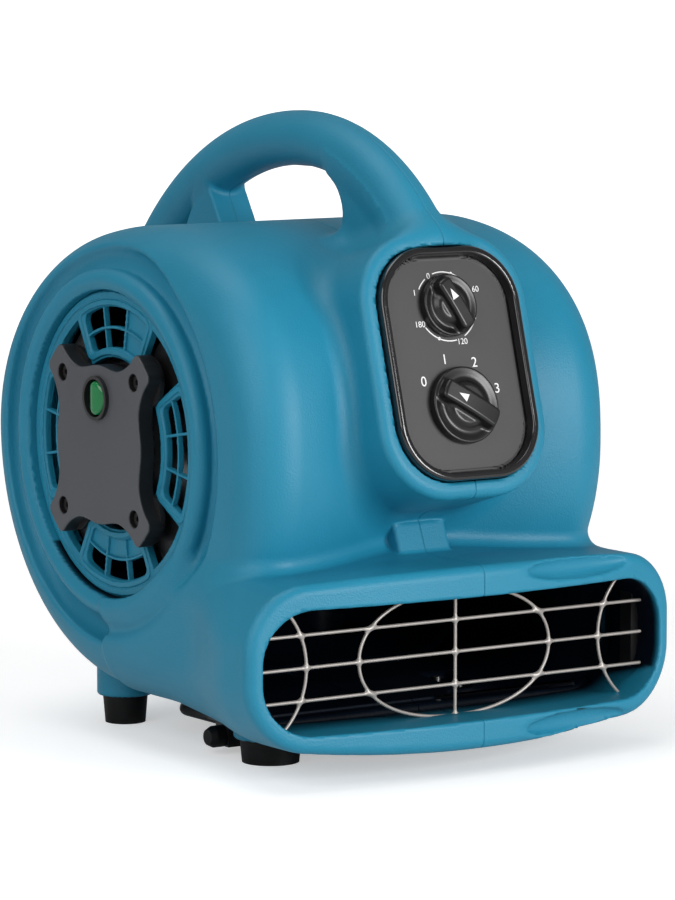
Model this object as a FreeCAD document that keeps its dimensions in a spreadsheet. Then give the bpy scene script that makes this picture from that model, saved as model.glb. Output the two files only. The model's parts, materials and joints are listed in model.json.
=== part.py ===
import FreeCAD, Part
import math
import os
import re

import Sketcher

# A small centrifugal carpet blower.  X is the fan axis, positive to the right as seen from the outlet,
# -Y is the way the air leaves, Z is up, and the origin is on the floor under the middle of the object.

Vector = FreeCAD.Vector
X_AXIS = Vector(1, 0, 0)
Y_AXIS = Vector(0, 1, 0)
Z_AXIS = Vector(0, 0, 1)

doc = FreeCAD.newDocument("blower")
sheet = doc.addObject("Spreadsheet::Sheet", "Sizes")

# ---------------------------------------------------------------- driving sizes, in mm and degrees
# Places along Y and Z are counted from the fan axis.
SIZES = {
    # fan axis and the gaps that everything shares
    "axis_y": 16.0,
    "axis_z": 153.5,
    "wall": 3.0,
    "seat_gap": 0.3,
    "running_gap": 0.05,
    # barrel of the housing: its reach above, behind, under and before the axis
    "barrel_half_width": 109.0,
    "barrel_top": 109.5,
    "barrel_rear": 126.0,
    "barrel_bottom": 127.0,
    "barrel_front": 143.0,
    "barrel_edge": 29.0,
    # outlet nozzle
    "nozzle_root": 5.0,
    "nozzle_root_half_width": 108.0,
    "nozzle_root_top": 30.0,
    "nozzle_root_bottom": 126.5,
    "flare_start": 78.0,
    "flare_start_half_width": 110.0,
    "flare_start_top": 42.0,
    "flare_start_bottom": 134.0,
    "flare_end": 138.0,
    "lip_front": 173.0,
    "lip_bow": 15.5,
    "lip_half_width": 127.5,
    "lip_top": 50.0,
    "lip_bottom": 140.5,
    "lip_corner": 30.0,
    "mouth_half_width": 119.5,
    "mouth_top": 63.8,
    "mouth_bottom": 127.0,
    "mouth_corner": 26.0,
    "mouth_depth": 40.0,
    # moulded block on the seam above the nozzle
    "block_half_width": 15.5,
    "block_front": 121.0,
    "block_top": 37.0,
    # control panel and the boss that carries it
    "panel_y": -150.5,
    "panel_z": 47.1,
    "panel_tilt": 15.65,
    "panel_half_width": 41.3,
    "panel_half_height": 57.8,
    "panel_corner": 29.0,
    "bezel_width": 3.8,
    "bezel_depth": 5.0,
    "bezel_proud": 1.5,
    "panel_recess": 1.5,
    "ledge_width": 3.0,
    "ledge_depth": 2.5,
    "boss_half_width": 47.5,
    "boss_half_height": 66.0,
    "boss_corner": 35.0,
    "boss_depth": 78.0,
    # knobs and the switches behind them
    "timer_up": 28.7,
    "speed_up": -20.9,
    "timer_knob_radius": 15.5,
    "speed_knob_radius": 19.0,
    "knob_height": 14.0,
    "knob_skirt": 3.5,
    "skirt_step": 2.0,
    "knob_taper": 1.0,
    "knob_roof": 2.0,
    "grip_width": 7.0,
    "timer_rest_turn": 27.0,
    "speed_rest_turn": 57.0,
    "knob_shaft_radius": 3.0,
    "bushing_radius": 4.5,
    "timer_body_radius": 16.5,
    "timer_body_depth": 26.0,
    "speed_body_radius": 17.0,
    "speed_body_depth": 20.0,
    "switch_box_half_width": 31.0,
    "switch_box_half_height": 48.0,
    "switch_box_depth": 36.0,
    "switch_box_wall": 2.0,
    "switch_box_corner": 20.0,
    "box_screw_x": 25.0,
    "box_screw_up": 3.0,
    "box_screw_bite": 2.5,
    "capacitor_half_width": 8.0,
    "capacitor_half_height": 5.0,
    "capacitor_length": 12.0,
    "capacitor_x": -6.0,
    "capacitor_gap": 2.0,
    # carrying handle
    "handle_radius": 14.0,
    "handle_wall": 3.0,
    "handle_apex_y": -18.0,
    "handle_apex_z": 152.5,
    "handle_front_arc": 133.0,
    "handle_front_sweep": 50.0,
    "handle_rear_arc": 182.0,
    "handle_rear_sweep": 49.6,
    "handle_tail_arc": 25.0,
    "handle_tail_sweep": 105.0,
    "web_front": 118.0,
    "web_rear": 44.0,
    "pedestal_front": -28.0,
    "pedestal_rear": -86.0,
    "pedestal_half_width": 23.0,
    "pedestal_taper": 11.0,
    "pedestal_corner": 5.0,
    # inlets
    "inlet_radius": 77.7,
    "collar_wall": 4.0,
    "collar_lip": 4.5,
    "grille_setback": 5.0,
    "grille_thickness": 4.0,
    "window_inner": 47.5,
    "window_rim": 7.7,
    "window_half_angle": 27.0,
    "rib_width": 2.4,
    "rib_offset": 0.25,
    "rib_half_angle": 9.0,
    "rib_sink": 2.0,
    "hub_hole_radius": 40.0,
    "cap_flange": 4.0,
    # black motor bracket and the switch plate on it
    "bracket_thickness": 2.4,
    "bracket_cup_radius": 39.5,
    "bracket_cup_depth": 14.0,
    "bracket_arm_width": 22.0,
    "bracket_lobe_radius": 13.0,
    "ion_half_height": 8.0,
    "ion_half_length": 16.0,
    "ion_depth": 11.5,
    "ion_drop": 11.0,
    "plate_thickness": 8.0,
    "plate_half_side": 36.0,
    "plate_bulge_radius": 39.5,
    "plate_lobe_radius": 10.5,
    "hole_pitch": 68.0,
    "hole_radius": 4.35,
    "rocker_up": 23.6,
    "rocker_hole_radius": 10.0,
    "rocker_flange_radius": 11.2,
    "rocker_flange_height": 2.0,
    "rocker_body_depth": 18.0,
    "rocker_radius": 8.4,
    "rocker_gap": 1.1,
    "rocker_half_width": 7.2,
    "rocker_barrel_radius": 10.0,
    "rocker_pivot_depth": 7.0,
    "rocker_rest_tilt": 8.0,
    # motor
    "motor_radius": 42.0,
    "bell_depth": 16.0,
    "bell_screw_reach": 24.0,
    "bell_wall": 2.0,
    "stack_depth": 28.0,
    "rotor_radius": 23.5,
    "air_gap": 0.5,
    "coil_inner": 27.0,
    "coil_outer": 38.0,
    "coil_height": 9.0,
    "shaft_radius": 4.0,
    "shaft_clearance": 1.0,
    "bearing_radius": 11.0,
    "bearing_width": 7.0,
    # fan wheel
    "wheel_radius": 74.0,
    "wheel_inner_radius": 60.0,
    "wheel_half_length": 66.0,
    "wheel_ring": 4.0,
    "wheel_plate": 3.0,
    "hub_radius": 14.0,
    "hub_length": 22.0,
    "set_screw_inset": 4.0,
    "hoop_width": 11.0,
    "blade_thickness": 1.6,
    "blade_count": 30,
    "blade_bend": 7.0,
    "blade_lead": 2.0,
    "blade_curl": 3.0,
    "blade_rim_gap": 0.6,
    # outlet grille
    "wire_radius": 1.0,
    "wire_pitch": 16.0,
    "grille_y": 147.0,
    "oval_half_width": 57.3,
    "oval_end_radius": 19.0,
    "side_wire_x": 88.0,
    "side_wire_spread": 6.0,
    "side_wire_drop": 3.0,
    "grille_half_width": 114.0,
    "weld_sink": 0.6,
    "hook_length": 16.0,
    "strip_margin": 6.0,
    "strip_start": 6.0,
    "strip_depth": 9.0,
    # feet
    "foot_x": 64.5,
    "front_foot_y": 81.5,
    "front_foot_radius": 15.5,
    "front_foot_height": 12.0,
    "rear_foot_y": -56.0,
    "rear_foot_radius": 11.7,
    "rear_foot_height": 14.5,
    "foot_boss_margin": 1.5,
    "foot_taper": 1.2,
    "foot_recess": 5.0,
    "foot_screw_bite": 5.0,
    # folding stand
    "stand_radius": 3.5,
    "stand_height": 9.0,
    "stand_pivot_y": 50.4,
    "stand_length": 82.0,
    "stand_half_width": 46.0,
    "stand_bend": 8.0,
    "stand_bracket_x": 66.0,
    "stand_bracket_width": 14.0,
    "stand_bracket_reach": 13.5,
    "stand_bracket_wall": 1.7,
    "stand_neck_margin": 2.5,
    "stand_bracket_top": 19.5,
    "stand_ear": 4.0,
    "stand_ear_screw": 9.8,
    "stand_cap_radius": 5.5,
    "stand_cap_length": 7.0,
    "stand_cap_round": 1.5,
    # screws
    "screw_radius": 2.0,
    "screw_head_radius": 3.6,
    "screw_head_height": 2.6,
    "tower_radius": 6.0,
    "tower_inset": 15.0,
    "duct_tower_y": 112.0,
    "duct_tower_gap": 2.0,
    "seam_screw_length": 34.0,
    "seam_screw_grip": 14.0,
    # cord inlet
    "gland_bore": 4.2,
    "gland_radius": 9.0,
    "gland_x": 62.0,
    "gland_angle": -32.0,
}
# sizes that follow the ones above
SIZES["window_outer"] = SIZES["inlet_radius"] - SIZES["window_rim"]
SIZES["rib_radius"] = (SIZES["window_inner"] + SIZES["window_outer"]) / 2 - SIZES["rib_offset"]
for row, (alias, number) in enumerate(SIZES.items(), start=1):
    sheet.set(f"A{row}", alias.replace("_", " "))
    sheet.set(f"B{row}", str(number))
    sheet.setAlias(f"B{row}", alias)
doc.recompute()


def sized(formula):
    """Spell each size name in a formula as its cell of the sheet."""
    return re.sub(r"[a-z][a-z_]+", lambda word: "Sizes." + word.group()
                  if word.group() in SIZES else word.group(), formula)


def number(formula):
    """The value of a formula over the sheet."""
    value = sheet.evalExpression(sized(formula))
    return float(getattr(value, "Value", value))


# ---------------------------------------------------------------- places
FAN_Y = "axis_y"
FAN_Z = "axis_z"


def place(item, x="0", y="0", z="0", turn=None, angle="0"):
    """Bind an object's placement to formulas."""
    if turn is not None:
        item.Placement = FreeCAD.Placement(Vector(), FreeCAD.Rotation(turn, 45))
        item.setExpression("Placement.Rotation.Angle", sized(angle))
    for part, formula in (("x", x), ("y", y), ("z", z)):
        item.setExpression("Placement.Base." + part, sized(formula))
    return item


def on_axis(item, x):
    """Lay the object's own Z along the fan axis, with its origin at x."""
    return place(item, x, FAN_Y, FAN_Z, Y_AXIS, "90")


def panel_place(up, out):
    """Formulas of a point on the tilted panel: up the slope and out of its face."""
    y = f"axis_y + panel_y + ({up}) * sin(panel_tilt) - ({out}) * cos(panel_tilt)"
    z = f"axis_z + panel_z + ({up}) * cos(panel_tilt) + ({out}) * sin(panel_tilt)"
    return y, z


def on_panel(item, up="0", out="0", x="0"):
    """Lay the object's own Z along the panel's outward normal."""
    y, z = panel_place(up, out)
    return place(item, x, y, z, X_AXIS, "90 - panel_tilt")


# ---------------------------------------------------------------- sketches and features
def new_body(label):
    body = doc.addObject("PartDesign::Body", label)
    body.Label = label
    return body


def sketch_on(body, plane, shift="0"):
    """A sketch on one of the body's own origin planes, moved along its normal."""
    sketch = body.newObject("Sketcher::SketchObject", body.Name + "_sketch")
    origin = [item for item in body.Origin.OriginFeatures if item.Role == plane + "_Plane"][0]
    sketch.AttachmentSupport = [(origin, "")]
    sketch.MapMode = "FlatFace"
    sketch.setExpression("AttachmentOffset.Base.z", sized(shift))
    return sketch


def pin_along(sketch, kind, edge, end, formula):
    """Hold one coordinate of a sketch point at a formula."""
    index = sketch.addConstraint(Sketcher.Constraint(kind, -1, 1, edge, end, number(formula)))
    sketch.setExpression(f"Constraints[{index}]", sized(formula))


def pin_point(sketch, edge, end, x, y):
    """Hold a sketch point at two formulas."""
    pin_along(sketch, "DistanceX", edge, end, x)
    pin_along(sketch, "DistanceY", edge, end, y)


def outline(sketch, points):
    """A closed outline of straight lines through points given as formulas."""
    places = [Vector(number(x), number(y), 0) for x, y in points]
    count = len(places)
    first = sketch.GeometryCount
    for step in range(count):
        sketch.addGeometry(Part.LineSegment(places[step], places[(step + 1) % count]), False)
    for step in range(count):
        follower = first + (step + 1) % count
        sketch.addConstraint(Sketcher.Constraint("Coincident", first + step, 2, follower, 1))
    for step, (x, y) in enumerate(points):
        pin_point(sketch, first + step, 1, x, y)


def circle(sketch, radius, x="0", y="0"):
    middle = Vector(number(x), number(y), 0)
    edge = sketch.addGeometry(Part.Circle(middle, Z_AXIS, number(radius)), False)
    index = sketch.addConstraint(Sketcher.Constraint("Radius", edge, number(radius)))
    sketch.setExpression(f"Constraints[{index}]", sized(radius))
    pin_point(sketch, edge, 3, x, y)


def rectangle(sketch, half_x, half_y, x="0", y="0"):
    outline(sketch, [(f"{x} - ({half_x})", f"{y} - ({half_y})"), (f"{x} + ({half_x})", f"{y} - ({half_y})"),
                     (f"{x} + ({half_x})", f"{y} + ({half_y})"), (f"{x} - ({half_x})", f"{y} + ({half_y})")])


def settled(item):
    """Recompute, and stop where the feature failed."""
    doc.recompute()
    if "Invalid" in item.State or "Error" in item.State or item.Shape.isNull():
        raise RuntimeError(f"{item.Label} failed: {item.getStatusString()}")
    return item


def rounded_rectangle(sketch, half_x, half_y, radius):
    """A rectangle about the sketch's origin with round corners."""
    reach = number(radius)
    arcs = []
    for turn, (sx, sy) in enumerate((("", ""), ("-", ""), ("-", "-"), ("", "-"))):
        x, y = f"{sx}(({half_x}) - ({radius}))", f"{sy}(({half_y}) - ({radius}))"
        whole = Part.Circle(Vector(number(x), number(y), 0), Z_AXIS, reach)
        arc = sketch.addGeometry(Part.ArcOfCircle(whole, turn * math.pi / 2, (turn + 1) * math.pi / 2), False)
        index = sketch.addConstraint(Sketcher.Constraint("Radius", arc, reach))
        sketch.setExpression(f"Constraints[{index}]", sized(radius))
        pin_point(sketch, arc, 3, x, y)
        flat, steep = (1, 2) if turn % 2 == 0 else (2, 1)
        pin_along(sketch, "DistanceY", arc, flat, y)
        pin_along(sketch, "DistanceX", arc, steep, x)
        arcs.append(arc)
    for arc, follower in zip(arcs, arcs[1:] + arcs[:1]):
        ends = sketch.getPoint(arc, 2), sketch.getPoint(follower, 1)
        line = sketch.addGeometry(Part.LineSegment(*ends), False)
        sketch.addConstraint(Sketcher.Constraint("Coincident", arc, 2, line, 1))
        sketch.addConstraint(Sketcher.Constraint("Coincident", line, 2, follower, 1))


def feature(body, kind, sketch, **bound):
    """A sketch-based feature whose named sizes are formulas."""
    item = body.newObject("PartDesign::" + kind, body.Name + "_" + kind.lower())
    item.Profile = sketch
    for name, value in bound.items():
        if isinstance(value, str):
            item.setExpression(name, sized(value))
        else:
            setattr(item, name, value)
    return settled(item)


def pad(body, sketch, length, **more):
    return feature(body, "Pad", sketch, Length=length, **more)


def pocket(body, sketch, length, **more):
    """Cut a sketch out of the body, and insist that something was cut."""
    before = body.Shape.Volume
    item = feature(body, "Pocket", sketch, Length=length, **more)
    if item.Shape.Volume > before - 0.1:
        raise RuntimeError(body.Label + ": a pocket cut nothing")
    return item


def polar(body, items, count):
    """Repeat features round the body's own Z."""
    item = body.newObject("PartDesign::PolarPattern", body.Name + "_polar")
    item.Originals = items
    item.Axis = (items[0].Profile[0], ["N_Axis"])
    item.Angle = 360
    item.setExpression("Occurrences", sized(count))
    body.Tip = item
    return settled(item)


def soften(body, radius, chosen, kind="Fillet"):
    """Round or chamfer the edges that the test picks."""
    base = body.Tip
    names = [f"Edge{place + 1}" for place, edge in enumerate(base.Shape.Edges) if chosen(edge)]
    item = body.newObject("PartDesign::" + kind, body.Name + "_" + kind.lower())
    item.Base = (base, names)
    item.setExpression("Radius" if kind == "Fillet" else "Size", sized(radius))
    return settled(item)


def upright(edge):
    """An edge that runs along the body's own Z."""
    line = edge.Vertexes[-1].Point - edge.Vertexes[0].Point
    return line.Length > 0.1 and abs(line.z) > 0.999 * line.Length


def revolved(label, profile):
    """A body turned about its own Z from (radius, height) formulas."""
    body = new_body(label)
    sketch = sketch_on(body, "XZ")
    outline(sketch, profile)
    feature(body, "Revolution", sketch, ReferenceAxis=(sketch, ["V_Axis"]), Angle="360")
    return body


def ring(label, inner, outer, low, high):
    return revolved(label, [(inner, low), (outer, low), (outer, high), (inner, high)])


# ---------------------------------------------------------------- the two moulded housing halves
size = {alias: float(sheet.get(alias)) for alias in SIZES}
fan = Vector(0, size["axis_y"], size["axis_z"])


def at_fan(x, y, z):
    return fan + Vector(x, y, z)


def panel_point(x, up, out):
    """A point given on the tilted panel, in the object's frame."""
    tilt = math.radians(size["panel_tilt"])
    return at_fan(x, size["panel_y"] + up * math.sin(tilt) - out * math.cos(tilt),
                  size["panel_z"] + up * math.cos(tilt) + out * math.sin(tilt))


def quarter_oval(start, corner, end):
    """A quarter of an ellipse that is tangent to the two lines that meet at the corner."""
    curve = Part.BSplineCurve()
    curve.buildFromPolesMultsKnots([start, corner, end], [3, 3], [0, 1], False, 2, [1, math.sqrt(0.5), 1])
    return curve.toShape()


def barrel(inset):
    """The barrel's solid, inset from its outer skin."""
    reach = [size["barrel_rear"], size["barrel_top"], -size["barrel_front"], -size["barrel_bottom"]]
    rear, top, front, bottom = [value - math.copysign(inset, value) for value in reach]
    half = size["barrel_half_width"] - inset
    quarters = [(rear, top), (front, top), (front, bottom), (rear, bottom)]
    edges = []
    for step, (y, z) in enumerate(quarters):
        ends = [at_fan(-half, y, 0), at_fan(-half, 0, z)]
        if step % 2:
            ends.reverse()
        edges.append(quarter_oval(ends[0], at_fan(-half, y, z), ends[1]))
    solid = Part.Face(Part.Wire(edges)).extrude(X_AXIS * 2 * half)
    rims = [edge for edge in solid.Edges if abs(abs(edge.CenterOfMass.x) - half) < 0.01]
    return solid.makeFillet(size["barrel_edge"] - inset, rims)


def rounded_wire(middle, across, along, half_across, half_along, radius):
    """A rounded rectangle as a wire; across and along are unit vectors."""
    edges = []
    corners = [(1, -1), (1, 1), (-1, 1), (-1, -1)]
    spans = []
    for sx, sy in corners:
        core = middle + across * sx * (half_across - radius) + along * sy * (half_along - radius)
        first, last = core + across * sx * radius, core + along * sy * radius
        if sx * sy < 0:
            first, last = last, first
        bulge = core + (across * sx + along * sy) * radius * math.sqrt(0.5)
        spans.append((first, bulge, last))
    for step, (first, bulge, last) in enumerate(spans):
        edges.append(Part.Arc(first, bulge, last).toShape())
        edges.append(Part.LineSegment(last, spans[(step + 1) % 4][0]).toShape())
    return Part.Wire(edges)


def duct_section(y, half_width, top, bottom, corner):
    """An upright rounded rectangle across the nozzle; top and bottom are counted down from the axis."""
    middle = at_fan(0, -y, -(top + bottom) / 2)
    return rounded_wire(middle, X_AXIS, Z_AXIS, half_width, (bottom - top) / 2, corner)


def bow_cylinder(back=0.0):
    """The upright cylinder whose side is the bowed front of the lip."""
    chord, bow = size["lip_half_width"], size["lip_bow"]
    radius = (chord ** 2 + bow ** 2) / (2 * bow)
    middle = at_fan(0, radius - size["lip_front"] + back, -size["barrel_bottom"] - 100)
    return Part.makeCylinder(radius, 400, middle, Z_AXIS)


def nozzle(inset):
    """The flared nozzle, inset from its outer skin."""
    corner = size["lip_corner"] - inset
    sections = []
    for name in ("nozzle_root", "flare_start"):
        half_width, top, bottom = (size[f"{name}_{edge}"] for edge in ("half_width", "top", "bottom"))
        sections.append(duct_section(size[name], half_width - inset, top + inset, bottom - inset, corner))
    for y in (size["flare_end"], size["lip_front"] + 1):
        sections.append(duct_section(y, size["lip_half_width"] - inset, size["lip_top"] + inset,
                                     size["lip_bottom"] - inset, corner))
    spans = [Part.makeLoft(list(pair), True, True) for pair in zip(sections, sections[1:])]
    solid = spans[0].fuse(spans[1:])
    return solid.common(bow_cylinder(0 if inset == 0 else size["mouth_depth"]))


def mouth():
    """The clear way through the thick lip."""
    section = [size["mouth_half_width"], size["mouth_top"], size["mouth_bottom"], size["mouth_corner"]]
    depth = size["mouth_depth"] + size["lip_bow"]
    return Part.makeLoft([duct_section(size["lip_front"] - depth, *section),
                          duct_section(size["lip_front"] + 2, *section)], True, True)


def panel_prism(half_width, half_height, corner, front, depth):
    """A rounded prism square to the panel, from front (counted out of its face) back by depth."""
    tilt = math.radians(size["panel_tilt"])
    up = Vector(0, math.sin(tilt), math.cos(tilt))
    outward = Vector(0, -math.cos(tilt), math.sin(tilt))
    wire = rounded_wire(panel_point(0, 0, front), X_AXIS, up, half_width, half_height, corner)
    return Part.Face(wire).extrude(outward * -depth)


def handle_path():
    """The handle's centre line: a front arc, a rear arc and the tail that turns in to the barrel."""
    apex = at_fan(0, size["handle_apex_y"], size["handle_apex_z"])

    def on_arc(middle, radius, angle):
        angle = math.radians(angle)
        return middle + Vector(0, radius * math.sin(angle), radius * math.cos(angle))

    front_middle = apex - Z_AXIS * size["handle_front_arc"]
    rear_middle = apex - Z_AXIS * size["handle_rear_arc"]
    sweep = size["handle_rear_sweep"]
    tail_start = on_arc(rear_middle, size["handle_rear_arc"], sweep)
    tail_middle = on_arc(tail_start, -size["handle_tail_arc"], sweep)
    spans = [(front_middle, size["handle_front_arc"], -size["handle_front_sweep"], 0),
             (rear_middle, size["handle_rear_arc"], 0, sweep),
             (tail_middle, size["handle_tail_arc"], sweep, sweep + size["handle_tail_sweep"])]
    edges = []
    for middle, radius, start, stop in spans:
        stations = [on_arc(middle, radius, start + (stop - start) * step / 2) for step in range(3)]
        edges.append(Part.Arc(*stations).toShape())
    return Part.Wire(edges)


def tube(path, radius):
    """A round bar along a wire."""
    start = path.Edges[0]
    profile = Part.Wire(Part.Circle(start.valueAt(start.FirstParameter),
                                    start.tangentAt(start.FirstParameter), radius).toShape())
    return path.makePipeShell([profile], True, False)


def crown(y):
    """Height of the barrel's outer skin over the axis at y."""
    reach = size["barrel_rear"] if y > 0 else size["barrel_front"]
    return size["barrel_top"] * math.sqrt(1 - (y / reach) ** 2)


def handle_web():
    """The web that fills the corner between the handle's front leg, the barrel and the boss."""
    sunk = 12.0
    front, rear = -size["web_front"], -size["web_rear"]
    arc, apex_y = size["handle_front_arc"], size["handle_apex_y"]
    base = size["handle_apex_z"] - arc
    corners = [(rear, crown(rear) - sunk), (front, crown(front) - sunk)]
    for y in (front, (front + rear) / 2, rear):
        corners.append((y, base + math.sqrt(arc ** 2 - (y - apex_y) ** 2)))
    half = size["handle_radius"] - 1
    points = [at_fan(-half, y, z) for y, z in corners]
    return Part.Face(Part.makePolygon(points + points[:1])).extrude(X_AXIS * 2 * half)


def handle_pedestal():
    """The flared post under the rear of the handle."""
    front, rear = -size["pedestal_front"], -size["pedestal_rear"]
    middle_y = (front + rear) / 2
    half_length = (rear - front) / 2
    half_width, taper = size["pedestal_half_width"], size["pedestal_taper"]
    top = size["handle_apex_z"] - size["handle_rear_arc"] + math.sqrt(
        size["handle_rear_arc"] ** 2 - (middle_y - size["handle_apex_y"]) ** 2)
    corner = size["pedestal_corner"]
    low, high = at_fan(0, middle_y, crown(rear) - 2), at_fan(0, middle_y, top)
    foot = rounded_wire(low, X_AXIS, Y_AXIS, half_width, half_length, corner)
    head = rounded_wire(high, X_AXIS, Y_AXIS, half_width - taper, half_length - taper, corner)
    return Part.makeLoft([foot, head], True, True)


def foot_spots():
    """Name, place and sizes of each foot."""
    spots = []
    for side, sign in (("left", -1), ("right", 1)):
        for end in ("front", "rear"):
            middle = Vector(sign * size["foot_x"], size["axis_y"] - size[f"{end}_foot_y"], 0)
            spots.append((f"{end}_{side}_foot", end, middle))
    return spots


def foot_bosses():
    """The moulded bosses that the feet and the stand's brackets are screwed to."""
    bosses = []
    for _, end, middle in foot_spots():
        low = middle + Z_AXIS * size[end + "_foot_height"]
        radius = size[end + "_foot_radius"] + size["foot_boss_margin"]
        bosses.append(Part.makeCylinder(radius, size["axis_z"] - size["barrel_bottom"] + 20 - low.z, low))
    half_width = size["stand_bracket_width"] / 2 + 1
    half_depth = size["stand_bracket_reach"] + 1
    for sign in (-1, 1):
        middle = Vector(sign * size["stand_bracket_x"], size["axis_y"] - size["stand_pivot_y"],
                        size["stand_bracket_top"])
        bosses.append(Part.makeBox(2 * half_width, 2 * half_depth, 2 * size["wall"],
                                   middle - Vector(half_width, half_depth, 0)))
    return bosses


BARREL_TOWER_ANGLES = (8, 62, 128, 312)


def tower_spots():
    """Places, across the fan axis, of the screw towers along the seam."""
    spots = []
    for angle in BARREL_TOWER_ANGLES:
        turn = math.radians(angle)
        across = size["barrel_rear"] if math.cos(turn) > 0 else size["barrel_front"]
        upright_reach = size["barrel_top"] if math.sin(turn) > 0 else size["barrel_bottom"]
        spots.append(at_fan(0, (across - size["tower_inset"]) * math.cos(turn),
                            (upright_reach - size["tower_inset"]) * math.sin(turn)))
    duct_floor = size["wall"] - size["lip_bottom"]
    spots.append(at_fan(0, -size["duct_tower_y"], duct_floor + size["tower_radius"] + size["duct_tower_gap"]))
    return spots


def gland_frame():
    """Place and outward direction of the cord inlet, low on the barrel's back."""
    turn = math.radians(size["gland_angle"])
    outward = Vector(0, math.cos(turn), math.sin(turn))
    reach = 1 / math.sqrt((math.cos(turn) / size["barrel_rear"]) ** 2
                          + (math.sin(turn) / size["barrel_bottom"]) ** 2)
    return at_fan(size["gland_x"], 0, 0) + outward * reach, outward


def housing_shell():
    """Both halves of the housing in one piece."""
    wall, half = size["wall"], size["barrel_half_width"]
    skin = barrel(0)
    boss = panel_prism(size["boss_half_width"], size["boss_half_height"], size["boss_corner"],
                       -size["bezel_proud"], size["boss_depth"])
    block_half, block_front = size["block_half_width"], size["block_front"]
    block = Part.makeBox(2 * block_half, 40, size["lip_top"] + 20 - size["block_top"],
                         at_fan(-block_half, -block_front, -size["lip_top"] - 20))
    arch = tube(handle_path(), size["handle_radius"])
    outer = skin.fuse([nozzle(0), boss, block, arch, handle_web(), handle_pedestal()] + foot_bosses())

    inside = barrel(wall).fuse([nozzle(wall), panel_prism(
        size["boss_half_width"] - wall, size["boss_half_height"] - wall, size["boss_corner"] - wall,
        -size["bezel_depth"] - size["ledge_depth"], size["boss_depth"])])
    hollow = tube(handle_path(), size["handle_radius"] - size["handle_wall"])
    shell = outer.cut([inside, mouth(), hollow.cut(skin.fuse(boss))])

    collar_outer = size["inlet_radius"] + size["collar_wall"]
    collar_depth = size["grille_setback"] + size["grille_thickness"] + 2 * wall
    reach = size["lip_half_width"]
    towers = [Part.makeCylinder(size["tower_radius"], 2 * reach, spot - X_AXIS * reach, X_AXIS).common(outer)
              for spot in tower_spots()]
    collars = [Part.makeCylinder(collar_outer, collar_depth, at_fan(sign * half, 0, 0), X_AXIS * -sign)
               for sign in (-1, 1)]
    shell = shell.fuse(towers + collars)

    cuts = []
    thread = size["screw_radius"] + size["running_gap"]
    for sign in (-1, 1):
        face = at_fan(sign * (half + 1), 0, 0)
        seat = 1 + size["grille_setback"] + size["grille_thickness"]
        cuts.append(Part.makeCylinder(size["inlet_radius"], seat, face, X_AXIS * -sign))
        cuts.append(Part.makeCylinder(size["inlet_radius"] - size["collar_lip"], collar_depth + 2, face,
                                      X_AXIS * -sign))
    cuts.append(panel_prism(size["panel_half_width"] + size["seat_gap"],
                            size["panel_half_height"] + size["seat_gap"],
                            size["panel_corner"] + size["seat_gap"], 1, 1 + size["bezel_depth"]))
    ledge = size["bezel_width"] + size["ledge_width"]
    cuts.append(panel_prism(size["panel_half_width"] - ledge, size["panel_half_height"] - ledge,
                            size["panel_corner"] - ledge, 1, 3 + size["bezel_depth"] + size["ledge_depth"]))
    for spot in tower_spots():
        cuts.append(Part.makeCylinder(size["screw_head_radius"] + size["seat_gap"], reach,
                                      spot + X_AXIS * size["seam_screw_grip"], X_AXIS))
        cuts.append(Part.makeCylinder(thread, size["seam_screw_length"] + 1,
                                      spot + X_AXIS * size["seam_screw_grip"], X_AXIS * -1))
    for _, end, middle in foot_spots():
        low = middle + Z_AXIS * size[end + "_foot_height"]
        cuts.append(Part.makeCylinder(thread, size["foot_screw_bite"] + 1, low))
    for sign in (-1, 1):
        for step in (-1, 1):
            low = Vector(sign * size["stand_bracket_x"],
                         size["axis_y"] - size["stand_pivot_y"] + step * size["stand_ear_screw"],
                         size["stand_bracket_top"])
            cuts.append(Part.makeCylinder(thread, 2 * size["wall"], low))
    spot, outward = gland_frame()
    cuts.append(Part.makeCylinder(size["gland_radius"], 4 * wall, spot - outward * 3 * wall, outward))
    return shell.cut(cuts)


def half_space(sign):
    reach = 400.0
    return Part.makeBox(reach, 2 * reach, 2 * reach, Vector(0 if sign > 0 else -reach, -reach, -reach))


def shaped(label, shape):
    """A sub-part whose shape is worked out above."""
    item = doc.addObject("Part::Feature", label)
    item.Label = label
    item.Shape = shape
    return item


shell = housing_shell()
for label, sign in (("left_housing", -1), ("right_housing", 1)):
    shaped(label, shell.common(half_space(sign)))


# ---------------------------------------------------------------- inlet grilles
def inlet_grille(label, x_face, outward):
    """A disc with four windows, each crossed by thin ribs; Z of the body points to its inner side."""
    body = new_body(label)
    disc = sketch_on(body, "XY")
    circle(disc, "inlet_radius - seat_gap")
    pad(body, disc, "grille_thickness")
    hub = sketch_on(body, "XY")
    circle(hub, "hub_hole_radius")
    pocket(body, hub, "grille_thickness", Reversed=True)
    window = sketch_on(body, "XY")
    sector(window, "window_inner", "window_outer", "window_half_angle")
    cut = pocket(body, window, "grille_thickness", Reversed=True)
    polar(body, [cut], "4")
    band = sketch_on(body, "XY")
    circle(band, "rib_radius + rib_width / 2")
    circle(band, "rib_radius - rib_width / 2")
    pad(body, band, "grille_thickness")
    bars = sketch_on(body, "XY")
    for sign in ("-", "+"):
        slant_bar(bars, "window_inner - rib_sink", "window_outer + rib_sink", f"{sign} rib_half_angle",
                  "rib_width / 2")
    spokes = pad(body, bars, "grille_thickness")
    polar(body, [spokes], "4")
    holes = sketch_on(body, "XY")
    for x in ("-hole_pitch / 2", "hole_pitch / 2"):
        for y in ("-hole_pitch / 2", "hole_pitch / 2"):
            circle(holes, "screw_radius + running_gap", x, y)
    pocket(body, holes, "grille_thickness", Reversed=True)
    return on_axis(body, x_face) if outward < 0 else place(body, x_face, FAN_Y, FAN_Z, Y_AXIS, "-90")


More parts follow.
